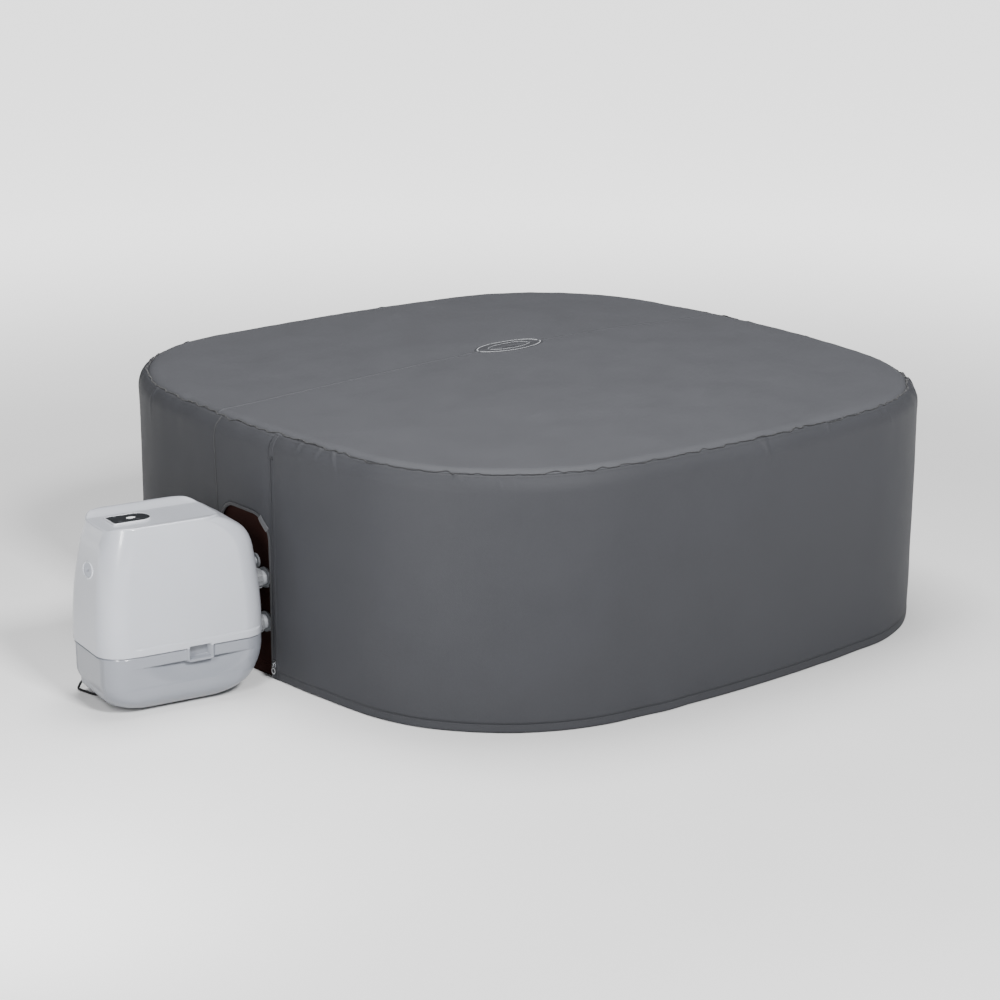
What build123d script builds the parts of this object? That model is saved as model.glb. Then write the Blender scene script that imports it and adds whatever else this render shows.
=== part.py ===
from build123d import *
import math
import os

os.makedirs("parts", exist_ok=True)

# ---------------------------------------------------------------- driving dimensions, mm
# Plan of the tub: a rounded square with slightly bowed sides, measured at the outside of the cover
COVER_HALF = 933.0
COVER_CORNER_R = 530.0
COVER_SIDE_R = 3700.0

# Cover, a fitted jacket
COVER_RIM_Z = 657.0
COVER_SKIN = 3.0
COVER_RIM_R = 55.0
COVER_SEAM_INSET = 26.0
COVER_WALL_Z = COVER_RIM_Z - COVER_RIM_R
TOP_SEAM_Y = 165.0
DOME_R = COVER_HALF - 153.0
DOME_RISE = 26.0
HEM_BOTTOM_Z = 1.5
HEM_TOP_Z = 24.0
HEM_PROUD = 1.0
PIPING_WIDTH = 6.0
PIPING_PROUD = 3.0
BADGE_LENGTH = 236.0
BADGE_WIDTH = 108.0
BADGE_X = 80.0
BADGE_Y = TOP_SEAM_Y
BADGE_T = 0.8

# Notch in the skirt around the pump couplings
NOTCH_Y0 = -98.0
NOTCH_Y1 = 118.0
NOTCH_TOP_Z = 430.0
NOTCH_R = 66.0
BINDING_WIDTH = 8.0
BINDING_T = 1.5
PUMP_PANEL_Y1 = NOTCH_Y1 + 14.0
TAB_LENGTH = 42.0
TAB_WIDTH = 15.0
TAB_TURN = 45.0
TAB_T = 2.2

# Zip beside the notch
ZIP_Y = -116.0
ZIP_TAPE_HALF = 8.0
ZIP_CHAIN_HALF = 2.0
ZIP_CHAIN_PROUD = 1.4
ZIP_TOP_Z = COVER_WALL_Z - 2.0
SLIDER_Z = 36.0
SLIDER_H = 18.0
SLIDER_W = 11.0
SLIDER_T = 3.2
SLIDER_CLEAR = 0.4

# Inflated tub
TUB_GAP = 7.0
PVC = 2.0
RING_WIDTH = 252.0
TUB_TOP_Z = COVER_RIM_Z - 11.0
TUB_EDGE_R = 49.0
FLOOR_T = 3.0
BAFFLES = 12
BAFFLE_T = 1.2
CHANNEL_WIDTH = 22.0
CHANNEL_HEIGHT = 18.0
CHANNEL_HOLE_R = 1.6
CHANNEL_HOLES = 48
DUCT_DEPTH = 16.0
DUCT_HALF = 16.0
DUCT_Y0 = 18.0
DUCT_Y1 = 52.0

# Inflatable lid under the cover
LID_GAP = 0.3
LID_FLANGE_T = 7.0
LID_FLANGE_INSET = 150.0
LID_PLUG_Z = TUB_TOP_Z - 86.0
LID_PLUG_GAP = 3.0
LID_SKIN = 1.6
LID_VALVE_R = 14.0
LID_VALVE_Y = 500.0

# Pump unit, in its own frame: X depth with the tub at +X, Y width, Z up
PUMP_GAP = 30.0
PUMP_Y = -10.0
PUMP_TURN = -9.0
PUMP_L = 444.0
PUMP_X = -(COVER_HALF + PUMP_GAP + PUMP_L / 2)
PUMP_W = 262.0
PUMP_H = 478.0
PUMP_WALL = 3.0
PUMP_PLAN_R = 66.0
PUMP_BELLY_Z = 178.0
PUMP_FRONT_LEAN = 40.0
PUMP_BACK_LEAN = 34.0
PUMP_SIDE_TAPER = 20.0
PUMP_BOTTOM_FRONT_R = 78.0
PUMP_BOTTOM_BACK_R = 129.0
PUMP_BOTTOM_SIDE_R = 47.0
PUMP_TOP_BACK_R = 98.0
PUMP_SEAM_Z = 158.0
PUMP_SECTIONS = (0, 0.008, 0.025, 0.055, 0.1, 0.165, 0.25, 0.36, 0.5, 0.64, 0.76, 0.83, 0.89, 0.94, 0.975, 1)
BELT_H = 20.0
BELT_PROUD = 1.5
TROUGH_R = 272.0
TROUGH_DEPTH = 10.0
FOOT_R = 15.0
FOOT_H = 5.0

# Control panel
PANEL_FRONT_X = -142.0
PANEL_END_X = -38.0
PANEL_HALF = 32.0
PANEL_Y = 4.0
PANEL_TOP_Z = 471.5
PANEL_T = 9.0
KEY_R = 5.0
KEY_H = 5.0
KEY_PROUD = 1.2
KEY_TRAVEL = 0.8
KEY_CLEAR = 0.08

# Couplings between pump and tub: name, offset Y, height Z, pipe radius
COUPLINGS = [("water_out", -16.0, 265.0, 19.0), ("water_in", -16.0, 146.0, 19.0), ("air", 24.0, 300.0, 12.0)]
PIPE_WALL = 3.0
NUT_START_X = PUMP_L / 2 + 5.0
NUT_END_X = NUT_START_X + 24.0
NUT_WALL = 7.0
NUT_LIP = 5.5
STUB_START_X = PUMP_L / 2 - 22.0
SEAL_X = PUMP_L / 2 + 18.0
SEAL_T = 2.0
COLLAR_T = 4.0
COLLAR_PROUD = 2.8
THREAD_CLEAR = 0.05
NUT_RIBS = 14
FLANGE_PROUD = 8.0

# Filter inside the basin, on the water_in pipe
FILTER_R = 52.0
FILTER_L = 96.0
FILTER_WALL = 2.5
FILTER_CAP_T = 6.0

# Valves in the outer wall
VALVE_R = 20.0
VALVE_DEPTH = 24.0
VALVE_CAP_R = 16.0
VALVE_BORE_R = 12.0
VALVE_THREAD_R = 15.0
VALVE_PLATE_T = 1.2
VALVES = [("inflation_valve", COVER_HALF - 633.0, TUB_TOP_Z - 106.0), ("drain_valve", 613.0 - COVER_HALF, 70.0)]

# Hand pockets in the pump's flanks: a cup with a rim round its mouth
POCKET_X0 = -9.0
POCKET_X1 = 63.0
POCKET_Z0 = 118.0
POCKET_WALL = 6.0
POCKET_DEPTH = 22.0
POCKET_PROUD = 3.0
POCKET_BACK = 3.0

# Oval badge on the pump's front
FRONT_BADGE_Y = -8.0
FRONT_BADGE_Z = 358.0
FRONT_BADGE_W = 66.0
FRONT_BADGE_H = 44.0
FRONT_BADGE_T = 1.2

# Gland for the mains cord in the pump's back
GLAND_Y = 88.0
GLAND_Z = 60.0
GLAND_R = 9.0

# Wire foot in front of the pump
WIRE_R = 3.2
WIRE_NEAR_Y = 56.0
WIRE_FAR_Y = 126.0
WIRE_TIP_X = -197.0
WIRE_BEND_X = -188.0
WIRE_ROOT_X = -145.0
WIRE_BEND_Z = 20.0
WIRE_ROOT_Z = 40.0

# Pieces inside the pump
DECK_Z0 = 30.0
DECK_Z1 = 34.0
SHAFT_Z = 74.0
SHAFT_CLEAR = 0.05
PUMP_SHAFT_R = 5.0
PUMP_MOTOR_R = 36.0
PUMP_MOTOR_X0 = -120.0
VOLUTE_R = 40.0
VOLUTE_WALL = 6.0
VOLUTE_X1 = 46.0
IMPELLER_R = 30.0
HOSE_R = 19.0
HOSE_BORE_R = 16.0
ELBOW_X = 76.0
HEATER_R = 27.0
HEATER_WALL = 3.0
HEATER_X0 = -120.0
HEATER_X1 = 150.0
RISER_X = -100.0
RISER_R = 11.0
RISER_BORE_R = 8.5
BOARD_Z = 415.0
BLOWER_Y = 76.0
BLOWER_R = 34.0
BLOWER_WALL = 3.0
BLOWER_X0 = 60.0
BLOWER_X1 = 110.0
FAN_R = 28.0
FAN_SHAFT_R = 4.0
FAN_MOTOR_R = 24.0


# ---------------------------------------------------------------- plan shapes of the tub
def corner_centre():
    """Coordinate q of the corner arc centre (q, q), where corner and side arcs run on smoothly."""
    side_c = COVER_HALF - COVER_SIDE_R
    reach = COVER_SIDE_R - COVER_CORNER_R
    return (side_c + math.sqrt(2 * reach * reach - side_c * side_c)) / 2


def polar(cx, cy, r, angle):
    return Vector(cx + r * math.cos(angle), cy + r * math.sin(angle))


def tub_plan(inset):
    """Face of the tub's plan, drawn in from the outside of the cover by inset."""
    side_c = COVER_HALF - COVER_SIDE_R
    side_r = COVER_SIDE_R - inset
    corner_r = COVER_CORNER_R - inset
    q = corner_centre()
    a = math.atan2(q, q - side_c)
    side = [polar(side_c, 0, side_r, t) for t in (-a, 0, a)]
    corner = [polar(q, q, corner_r, t) for t in (a, math.pi / 4, math.pi / 2 - a)]
    edges = []
    for k in range(4):
        for arc in (side, corner):
            edges.append(ThreePointArc(*[p.rotate(Axis.Z, 90 * k) for p in arc]))
    return make_face(edges)


def prism(inset, z0, z1):
    return Pos(0, 0, z0) * extrude(tub_plan(inset), z1 - z0)


def tube(inset0, inset1, z0, z1):
    """Upright wall between two insets."""
    return prism(inset0, z0, z1) - prism(inset1, z0 - 1, z1 + 1)


def top_edges(solid):
    return solid.edges().group_by(Axis.Z)[-1]


def rim_prism(inset, z0, z1, r):
    body = prism(inset, z0, z1)
    return fillet(top_edges(body), r)


def dome(r, z, rise, root):
    """Low lens on the level z, with a root that sinks into what carries it."""
    lens_r = (r * r + rise * rise) / (2 * rise)
    half = math.asin(r / lens_r) / 2
    mid = (lens_r * math.sin(half), z + rise - lens_r + lens_r * math.cos(half))
    with BuildSketch(Plane.XZ) as profile:
        with BuildLine():
            Polyline((0, z + rise), (0, z - root), (r, z - root), (r, z))
            ThreePointArc((r, z), mid, (0, z + rise))
        make_face()
    return revolve(profile.sketch, Axis.Z)


def box(x0, x1, y0, y1, z0, z1):
    return Pos((x0 + x1) / 2, (y0 + y1) / 2, (z0 + z1) / 2) * Box(x1 - x0, y1 - y0, z1 - z0)


def save(shape, node):
    export_step(shape, "parts/" + node + ".step")


# ---------------------------------------------------------------- cover
WEST = (-COVER_HALF - 60, -COVER_HALF + 140)


def notch(grow):
    """Arched opening in the skirt at the pump, widened by grow, open at the hem."""
    y0 = NOTCH_Y0 - grow
    y1 = NOTCH_Y1 + grow
    z1 = NOTCH_TOP_Z + grow
    block = box(*WEST, y0, y1, -20, z1)
    arch = top_edges(block).filter_by(Axis.X)
    return fillet(arch, NOTCH_R + grow)


def cover_shell():
    outer = rim_prism(0, HEM_TOP_Z, COVER_RIM_Z, COVER_RIM_R)
    outer += dome(DOME_R, COVER_RIM_Z, DOME_RISE, 20)
    under_z = COVER_RIM_Z - COVER_SKIN
    inner = rim_prism(COVER_SKIN, HEM_TOP_Z - 5, under_z, COVER_RIM_R - COVER_SKIN)
    inner += dome(DOME_R, under_z, DOME_RISE, 20)
    return outer - inner


def build_cover():
    shell = cover_shell()
    centre = prism(COVER_SEAM_INSET, COVER_WALL_Z - 2, COVER_RIM_Z + 60)
    top = shell & centre
    front = box(-2 * COVER_HALF, 2 * COVER_HALF, -2 * COVER_HALF, TOP_SEAM_Y, 0, 2 * COVER_RIM_Z)
    save(top & front, "cover_top_front")
    save(top - front, "cover_top_rear")

    wide_notch = notch(BINDING_WIDTH)
    slit = box(*WEST, ZIP_Y - ZIP_TAPE_HALF, NOTCH_Y0 - BINDING_WIDTH, -20, ZIP_TOP_Z)
    skirt = shell - centre - wide_notch - slit
    panel_zone = box(*WEST, NOTCH_Y0 - BINDING_WIDTH, PUMP_PANEL_Y1, -20, COVER_RIM_Z + 60)
    save(skirt - panel_zone, "cover_skirt")
    save(skirt & panel_zone, "cover_pump_panel")

    hem = tube(-HEM_PROUD, COVER_SKIN + HEM_PROUD, HEM_BOTTOM_Z, HEM_TOP_Z)
    save(hem - wide_notch - slit, "cover_hem")
    band = tube(-BINDING_T, COVER_SKIN + BINDING_T, HEM_BOTTOM_Z, COVER_WALL_Z)
    save((band & wide_notch) - notch(0), "notch_binding")

    seam_mid = COVER_SEAM_INSET
    half = PIPING_WIDTH / 2
    piping = tube(seam_mid - half, seam_mid + half, COVER_RIM_Z - 20, seam_z() + PIPING_PROUD)
    save(piping - rim_prism(0, HEM_TOP_Z, COVER_RIM_Z, COVER_RIM_R), "cover_piping")
    build_badge()
    build_zip()
    build_notch_tab()


def seam_z():
    """Height of the rounded rim's outer skin at the seam between top and skirt."""
    reach = COVER_RIM_R - COVER_SEAM_INSET
    return COVER_RIM_Z - COVER_RIM_R + math.sqrt(COVER_RIM_R ** 2 - reach ** 2)


def build_badge():
    """Plain oval patch lying on the dome."""
    oval = Pos(BADGE_X, BADGE_Y, COVER_RIM_Z) * extrude(Ellipse(BADGE_LENGTH / 2, BADGE_WIDTH / 2), 60)
    over = dome(DOME_R, COVER_RIM_Z + BADGE_T, DOME_RISE, 20)
    under = dome(DOME_R, COVER_RIM_Z, DOME_RISE, 30)
    save((oval & over) - under, "cover_badge")


def zip_strip(y0, y1, inset0, inset1, z1):
    return tube(inset0, inset1, HEM_BOTTOM_Z, z1) & box(*WEST, y0, y1, -20, z1)


def build_zip():
    tape_top = ZIP_TOP_Z
    far = zip_strip(ZIP_Y - ZIP_TAPE_HALF, ZIP_Y - ZIP_CHAIN_HALF, 1.0, 2.2, tape_top)
    near = zip_strip(ZIP_Y + ZIP_CHAIN_HALF, NOTCH_Y0 - BINDING_WIDTH, 1.0, 2.2, tape_top)
    save(Compound([far, near]), "zip_tapes")
    chain = zip_strip(ZIP_Y - ZIP_CHAIN_HALF, ZIP_Y + ZIP_CHAIN_HALF, 1.0 - ZIP_CHAIN_PROUD, 3.2, tape_top)
    save(chain, "zip_chain")
    build_slider()


def wall_x(y, inset=0.0):
    """X of the wall at this inset on the pump side, at offset y."""
    return -(COVER_HALF - COVER_SIDE_R + math.sqrt((COVER_SIDE_R - inset) ** 2 - y * y))


def build_slider():
    """Plate over the chain with two flanges beside it and a bridge that carries the pull."""
    chain_face = wall_x(ZIP_Y) + 1.0 - ZIP_CHAIN_PROUD
    back = chain_face - SLIDER_CLEAR
    half = SLIDER_W / 2
    plate = box(back - SLIDER_T, back, ZIP_Y - half, ZIP_Y + half, SLIDER_Z, SLIDER_Z + SLIDER_H)
    plate = fillet(plate.edges().filter_by(Axis.X), 2.0)
    for side in (-1, 1):
        y = ZIP_Y + side * (ZIP_CHAIN_HALF + 1.6)
        plate += box(back - 0.5, back + 0.9, y - 0.8, y + 0.8, SLIDER_Z + 1, SLIDER_Z + SLIDER_H - 1)
    eye_x = back - SLIDER_T - 2.6
    eye_z = SLIDER_Z + SLIDER_H / 2
    lug = box(eye_x - 2.4, back - SLIDER_T, ZIP_Y - 1.6, ZIP_Y + 1.6, eye_z - 3, eye_z + 3)
    hole = Pos(eye_x, ZIP_Y, eye_z) * Rot(90, 0, 0) * Cylinder(1.05, 10)
    save(plate + lug - hole, "zip_slider")
    build_pull(eye_x, eye_z)


def build_pull(x, z):
    """Stirrup through the lug and a ring hanging below it."""
    pin = Pos(x, ZIP_Y, z) * Rot(90, 0, 0) * Cylinder(1.0, 5.0)
    stirrup = pin
    for side in (-1, 1):
        y = ZIP_Y + side * 3.2
        stirrup += box(x - 1.2, x + 1.2, y - 0.8, y + 0.8, z - 13, z + 1.5)
    disc = Pos(x, ZIP_Y, z - 19) * Rot(0, 90, 0) * Cylinder(8.5, 2.0)
    hole = Pos(x, ZIP_Y, z - 19) * Rot(0, 90, 0) * Cylinder(6.0, 4.0)
    save(stirrup + (disc - hole), "zip_pull")


def build_notch_tab():
    """Short webbing pull tab sewn across the binding at the notch's upper corner."""
    reach = NOTCH_R + BINDING_WIDTH / 2
    turn = math.radians(TAB_TURN)
    y = NOTCH_Y0 + NOTCH_R - reach * math.cos(turn)
    z = NOTCH_TOP_Z - NOTCH_R + reach * math.sin(turn)
    slab = Pos(-COVER_HALF, y, z) * Rot(-TAB_TURN, 0, 0) * Box(200, TAB_WIDTH, TAB_LENGTH)
    save(tube(-BINDING_T - TAB_T, -BINDING_T, 0, COVER_WALL_Z) & slab, "notch_tab")


# ---------------------------------------------------------------- inflated tub
OUT0 = COVER_SKIN + TUB_GAP
OUT1 = OUT0 + PVC
IN1 = OUT0 + RING_WIDTH
IN0 = IN1 - PVC
CAP_Z = TUB_TOP_Z - TUB_EDGE_R - 1


def pump_place():
    return Pos(PUMP_X, PUMP_Y, 0) * Rot(0, 0, PUMP_TURN)


def pipe_cylinder(y, z, r, x0, x1):
    """Round bar along the pump's depth axis, in the row frame."""
    return pump_place() * Pos((x0 + x1) / 2, y, z) * Rot(0, 90, 0) * Cylinder(r, x1 - x0)


def wall_valve_place(y, z):
    """Frame on the outer wall at the pump side, its Z pointing out of the wall."""
    lean = math.degrees(math.asin(y / (COVER_SIDE_R - OUT0)))
    return Pos(wall_x(y, OUT0), y, z) * Rot(0, 0, -lean) * Rot(0, -90, 0)


def top_cap():
    outer = prism(OUT0, CAP_Z, TUB_TOP_Z) - prism(IN1, CAP_Z - 1, TUB_TOP_Z + 1)
    outer = fillet(top_edges(outer), TUB_EDGE_R)
    inner = prism(OUT1, CAP_Z - 1, TUB_TOP_Z - PVC) - prism(IN0, CAP_Z - 2, TUB_TOP_Z + 1)
    inner = fillet(top_edges(inner), TUB_EDGE_R - PVC)
    return outer - inner


def build_tub():
    save(prism(OUT0, 0, FLOOR_T), "tub_floor")
    outer = tube(OUT0, OUT1, FLOOR_T, CAP_Z)
    inner = tube(IN0, IN1, FLOOR_T, CAP_Z)
    for name, y, z, r in COUPLINGS:
        bar = pipe_cylinder(y, z, r, SEAL_X, 700)
        outer -= bar
        inner -= bar
    for name, y, z in VALVES:
        outer -= wall_valve_place(y, z) * Cylinder(VALVE_R, 60)
    save(outer, "tub_outer_wall")
    save(inner, "tub_inner_wall")
    save(top_cap(), "tub_top_panel")
    build_baffles()
    build_air_channel()


def build_baffles():
    """Upright webs that hold the two walls at an even distance."""
    ring = tube(OUT1, IN0, FLOOR_T, CAP_Z)
    webs = []
    for k in range(BAFFLES):
        angle = (k + 0.5) * 360 / BAFFLES
        slab = Rot(0, 0, angle) * box(300, 1300, -BAFFLE_T / 2, BAFFLE_T / 2, 0, 800)
        webs += (ring & slab).solids()
    save(Compound(webs), "wall_baffles")


def build_air_channel():
    """Bubble channel along the foot of the inner wall, fed by a flat duct from the air pipe."""
    top = FLOOR_T + CHANNEL_HEIGHT
    channel = tube(IN1, IN1 + CHANNEL_WIDTH, FLOOR_T, top)
    channel -= tube(IN1 + PVC, IN1 + CHANNEL_WIDTH - PVC, FLOOR_T - 5, top - PVC)
    path = tub_plan(IN1 + CHANNEL_WIDTH / 2).face().outer_wire()
    for k in range(CHANNEL_HOLES):
        p = path.position_at((k + 0.5) / CHANNEL_HOLES)
        channel -= Pos(p.X, p.Y, top) * Cylinder(CHANNEL_HOLE_R, 10)
    duct_y = air_duct_y()
    west = (-COVER_HALF, -400)
    feed = box(*west, duct_y + DUCT_Y0 + 2 * PVC, duct_y + DUCT_Y1 - 2 * PVC, top - 10, top + 10)
    z = COUPLINGS[2][2]
    z1 = z + DUCT_HALF
    duct = duct_run(duct_y, 0, IN1, IN1 + DUCT_DEPTH, top, z1)
    core = duct_run(duct_y, PVC, IN1 - 5, IN1 + DUCT_DEPTH - PVC, top - 5, z1 - PVC)
    save((channel - feed) + (duct - core), "air_channel")


def duct_run(y, inset, inset0, inset1, z0, z1):
    """Riser beside the filter and a short level run to the air pipe."""
    west = (-COVER_HALF, -400)
    level_z = COUPLINGS[2][2] - DUCT_HALF + inset
    riser = box(*west, y + DUCT_Y0 + inset, y + DUCT_Y1 - inset, z0, z1)
    level = box(*west, y - DUCT_HALF + inset, y + DUCT_Y1 - inset, level_z, z1)
    return tube(inset0, inset1, z0 - 1, z1 + 1) & (riser + level)


def axis_point(y, x):
    """Row-frame position of the point at depth x on the coupling axis with offset y."""
    a = math.radians(PUMP_TURN)
    return PUMP_X + x * math.cos(a) - y * math.sin(a), PUMP_Y + x * math.sin(a) + y * math.cos(a)


def inner_wall_hit(y):
    """Depth in the pump frame at which a coupling axis passes the inside of the inner wall."""
    x = 500.0
    for step in range(20):
        px, py = axis_point(y, x)
        x += (wall_x(py, IN1) - px) / math.cos(math.radians(PUMP_TURN))
    return x


def air_duct_y():
    y = COUPLINGS[2][1]
    return axis_point(y, inner_wall_hit(y))[1]


# ---------------------------------------------------------------- couplings
def hollow(y, z, r, bore, x0, x1):
    return pipe_cylinder(y, z, r, x0, x1) - pipe_cylinder(y, z, bore, x0 - 1, x1 + 1)


def tub_pipe(name, y, z, r):
    """Pipe through the ring, with a flange on each wall that it does not share with the air duct."""
    end = inner_wall_hit(y) + (2 if name == "air" else 14)
    bore = pipe_cylinder(y, z, r - PIPE_WALL, SEAL_X, end + 20)
    pipe = pipe_cylinder(y, z, r, SEAL_X + SEAL_T, end)
    plate = pipe_cylinder(y, z, r + FLANGE_PROUD, 200, end + 60)
    pipe += plate & tube(OUT0 - 5, OUT0, 20, CAP_Z)
    if name != "air":
        pipe += plate & tube(IN1, IN1 + 5, 20, CAP_Z)
    return pipe - bore


def pump_stub(y, z, r):
    stub = hollow(y, z, r, r - PIPE_WALL, STUB_START_X, SEAL_X)
    return stub + hollow(y, z, r + COLLAR_PROUD, r - PIPE_WALL, SEAL_X - COLLAR_T - 0.4, SEAL_X - 0.4)


def coupling_nut(y, z, r):
    """Ribbed union nut: lip behind the stub's collar, thread over the tub's pipe."""
    nut = pipe_cylinder(y, z, r + NUT_WALL, NUT_START_X, NUT_END_X)
    for k in range(NUT_RIBS):
        t = 2 * math.pi * k / NUT_RIBS
        rib_y = y + (r + NUT_WALL) * math.cos(t)
        rib_z = z + (r + NUT_WALL) * math.sin(t)
        nut += pipe_cylinder(rib_y, rib_z, 1.8, NUT_START_X + 3, NUT_END_X - 3)
    nut -= pipe_cylinder(y, z, r + THREAD_CLEAR, NUT_START_X - 1, NUT_END_X + 1)
    nut -= pipe_cylinder(y, z, r + COLLAR_PROUD + 0.4, NUT_START_X + NUT_LIP, SEAL_X + SEAL_T + 1)
    return nut


def build_couplings():
    pipes = []
    stubs = []
    seals = []
    for name, y, z, r in COUPLINGS:
        save(coupling_nut(y, z, r), name + "_nut")
        pipes.append(tub_pipe(name, y, z, r))
        stubs.append(pump_stub(y, z, r))
        seals.append(hollow(y, z, r + 1.5, r - PIPE_WALL, SEAL_X, SEAL_X + SEAL_T))
    save(Compound(pipes), "tub_pipes")
    save(Compound(stubs), "pump_stubs")
    save(Compound(seals), "coupling_seals")


def build_filter():
    """Slotted cup over the intake with a pleated cartridge and a turn-off cap."""
    name, y, z, r = COUPLINGS[1]
    x0 = inner_wall_hit(y) + 14
    x1 = x0 + FILTER_L
    floor = hollow(y, z, FILTER_R, r - PIPE_WALL, x0, x0 + FILTER_WALL)
    cup = floor + hollow(y, z, FILTER_R, FILTER_R - FILTER_WALL, x0 + FILTER_WALL - 0.5, x1)
    for k in range(8):
        t = 2 * math.pi * (k + 0.5) / 8
        sy = y + FILTER_R * math.cos(t)
        sz = z + FILTER_R * math.sin(t)
        cup -= pipe_cylinder(sy, sz, 7, x0 + 14, x1 - 14)
    save(cup, "filter_housing")
    bore = r - PIPE_WALL
    save(hollow(y, z, FILTER_R - 9, bore, x0 + FILTER_WALL, x1 - 6), "filter_cartridge")
    cap = pipe_cylinder(y, z, FILTER_R, x1 + 0.3, x1 + FILTER_CAP_T)
    spigot_r = FILTER_R - FILTER_WALL - THREAD_CLEAR
    cap += hollow(y, z, spigot_r, spigot_r - 3, x1 - 5, x1 + 1)
    cx = x1 + FILTER_CAP_T
    grip = pump_place() * box(cx - 0.5, cx + 12, y - 30, y + 30, z - 4, z + 4)
    save(cap + grip, "filter_cap")

    name, y, z, r = COUPLINGS[0]
    x0 = inner_wall_hit(y) + 14
    screen = pipe_cylinder(y, z, r + 7, x0, x0 + 4)
    for k in range(6):
        t = 2 * math.pi * k / 6
        screen -= pipe_cylinder(y + 10 * math.cos(t), z + 10 * math.sin(t), 3.2, x0 - 1, x0 + 5)
    save(screen, "outlet_screen")


def build_valves():
    """Valve bodies welded into the outer wall, with screw caps."""
    bodies = []
    for name, y, z in VALVES:
        place = wall_valve_place(y, z)
        body = Pos(0, 0, -VALVE_DEPTH / 2) * Cylinder(VALVE_R, VALVE_DEPTH)
        body += Pos(0, 0, VALVE_PLATE_T / 2) * Cylinder(VALVE_R + 7, VALVE_PLATE_T)
        body -= Pos(0, 0, -VALVE_DEPTH / 2 + 2) * Cylinder(VALVE_BORE_R, VALVE_DEPTH + 10)
        body -= Cylinder(VALVE_THREAD_R + THREAD_CLEAR, 8)
        bodies.append(place * body)
        cap = Pos(0, 0, VALVE_PLATE_T + 1.3) * Cylinder(VALVE_CAP_R, 2.2)
        cap += Pos(0, 0, -VALVE_PLATE_T / 2) * Cylinder(VALVE_THREAD_R, 5.0)
        cap += Pos(0, 0, VALVE_PLATE_T + 2.8) * Box(20, 3, 1.6)
        save(place * cap, name + "_cap")
    save(Compound(bodies), "valve_bodies")


# ---------------------------------------------------------------- inflatable lid
def lid_body(inset):
    """Solid of the lid drawn in by inset on every side: flange on the ring, plug in the basin, low dome."""
    z0 = TUB_TOP_Z + LID_GAP
    z1 = z0 + LID_FLANGE_T
    flange = prism(LID_FLANGE_INSET + inset, z0 + inset, z1 - inset)
    plug = prism(IN1 + LID_PLUG_GAP + inset, LID_PLUG_Z + inset, z1 - inset - 0.5)
    crown = dome(DOME_R - 90 - inset, z1 - inset, DOME_RISE - 5, 3)
    return flange + plug + crown


def build_lid():
    skin = lid_body(0) - lid_body(LID_SKIN)
    port = Pos(0, LID_VALVE_Y, LID_PLUG_Z) * Cylinder(LID_VALVE_R, 20)
    save(skin - port, "lid_pad")
    plug = Pos(0, LID_VALVE_Y, LID_PLUG_Z) * Cylinder(LID_VALVE_R, 2 * LID_SKIN)
    dimple = Pos(0, LID_VALVE_Y, LID_PLUG_Z - LID_SKIN) * Cylinder(LID_VALVE_R - 4, LID_SKIN)
    save(plug - dimple, "lid_valve")


# ---------------------------------------------------------------- pump shells
def rounding(r, h):
    """How far an edge of radius r has drawn in at height h above its foot."""
    return r - math.sqrt(r * r - (r - h) ** 2) if h < r else 0.0


def pump_section(z, inset):
    """Front, back and half width of the pump's outline at height z, drawn in by inset."""
    h = z - FOOT_H - inset
    below_top = PUMP_H - inset - z
    rise = max(0.0, (z - PUMP_BELLY_Z) / (PUMP_H - PUMP_BELLY_Z))
    front = -PUMP_L / 2 + inset + rounding(PUMP_BOTTOM_FRONT_R - inset, h) + PUMP_FRONT_LEAN * rise ** 2
    back = PUMP_L / 2 - inset - rounding(PUMP_BOTTOM_BACK_R - inset, h) - PUMP_BACK_LEAN * rise ** 2
    back -= rounding(PUMP_TOP_BACK_R - inset, below_top)
    half = PUMP_W / 2 - inset - rounding(PUMP_BOTTOM_SIDE_R - inset, h) - PUMP_SIDE_TAPER * rise ** 1.6
    return front, back, half


def pump_body(inset):
    z0 = FOOT_H + inset
    height = PUMP_H - inset - z0
    faces = []
    for share in PUMP_SECTIONS:
        z = z0 + share * height
        front, back, half = pump_section(z, inset)
        outline = RectangleRounded(back - front, 2 * half, PUMP_PLAN_R - inset)
        faces.append(Pos((front + back) / 2, 0, z) * outline)
    trough_z = PUMP_H - TROUGH_DEPTH + TROUGH_R
    trough = Pos(0, 0, trough_z) * Rot(0, 90, 0) * Cylinder(TROUGH_R + inset, 900)
    return loft(faces, ruled=True) - trough


def panel_sketch(grow):
    r = PANEL_HALF + grow
    x_round = PANEL_END_X - PANEL_HALF
    x_flat = PANEL_FRONT_X - grow
    block = Pos((x_round + x_flat) / 2, PANEL_Y) * Rectangle(x_round - x_flat, 2 * r)
    return Pos(x_round, PANEL_Y) * Circle(r) + block


def key_positions():
    """Two rows of keys beside the display."""
    spots = []
    for x in (PANEL_FRONT_X + 20, PANEL_FRONT_X + 66):
        for side in (-1, 1):
            spots.append((x, PANEL_Y + side * 21))
    return spots


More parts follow.
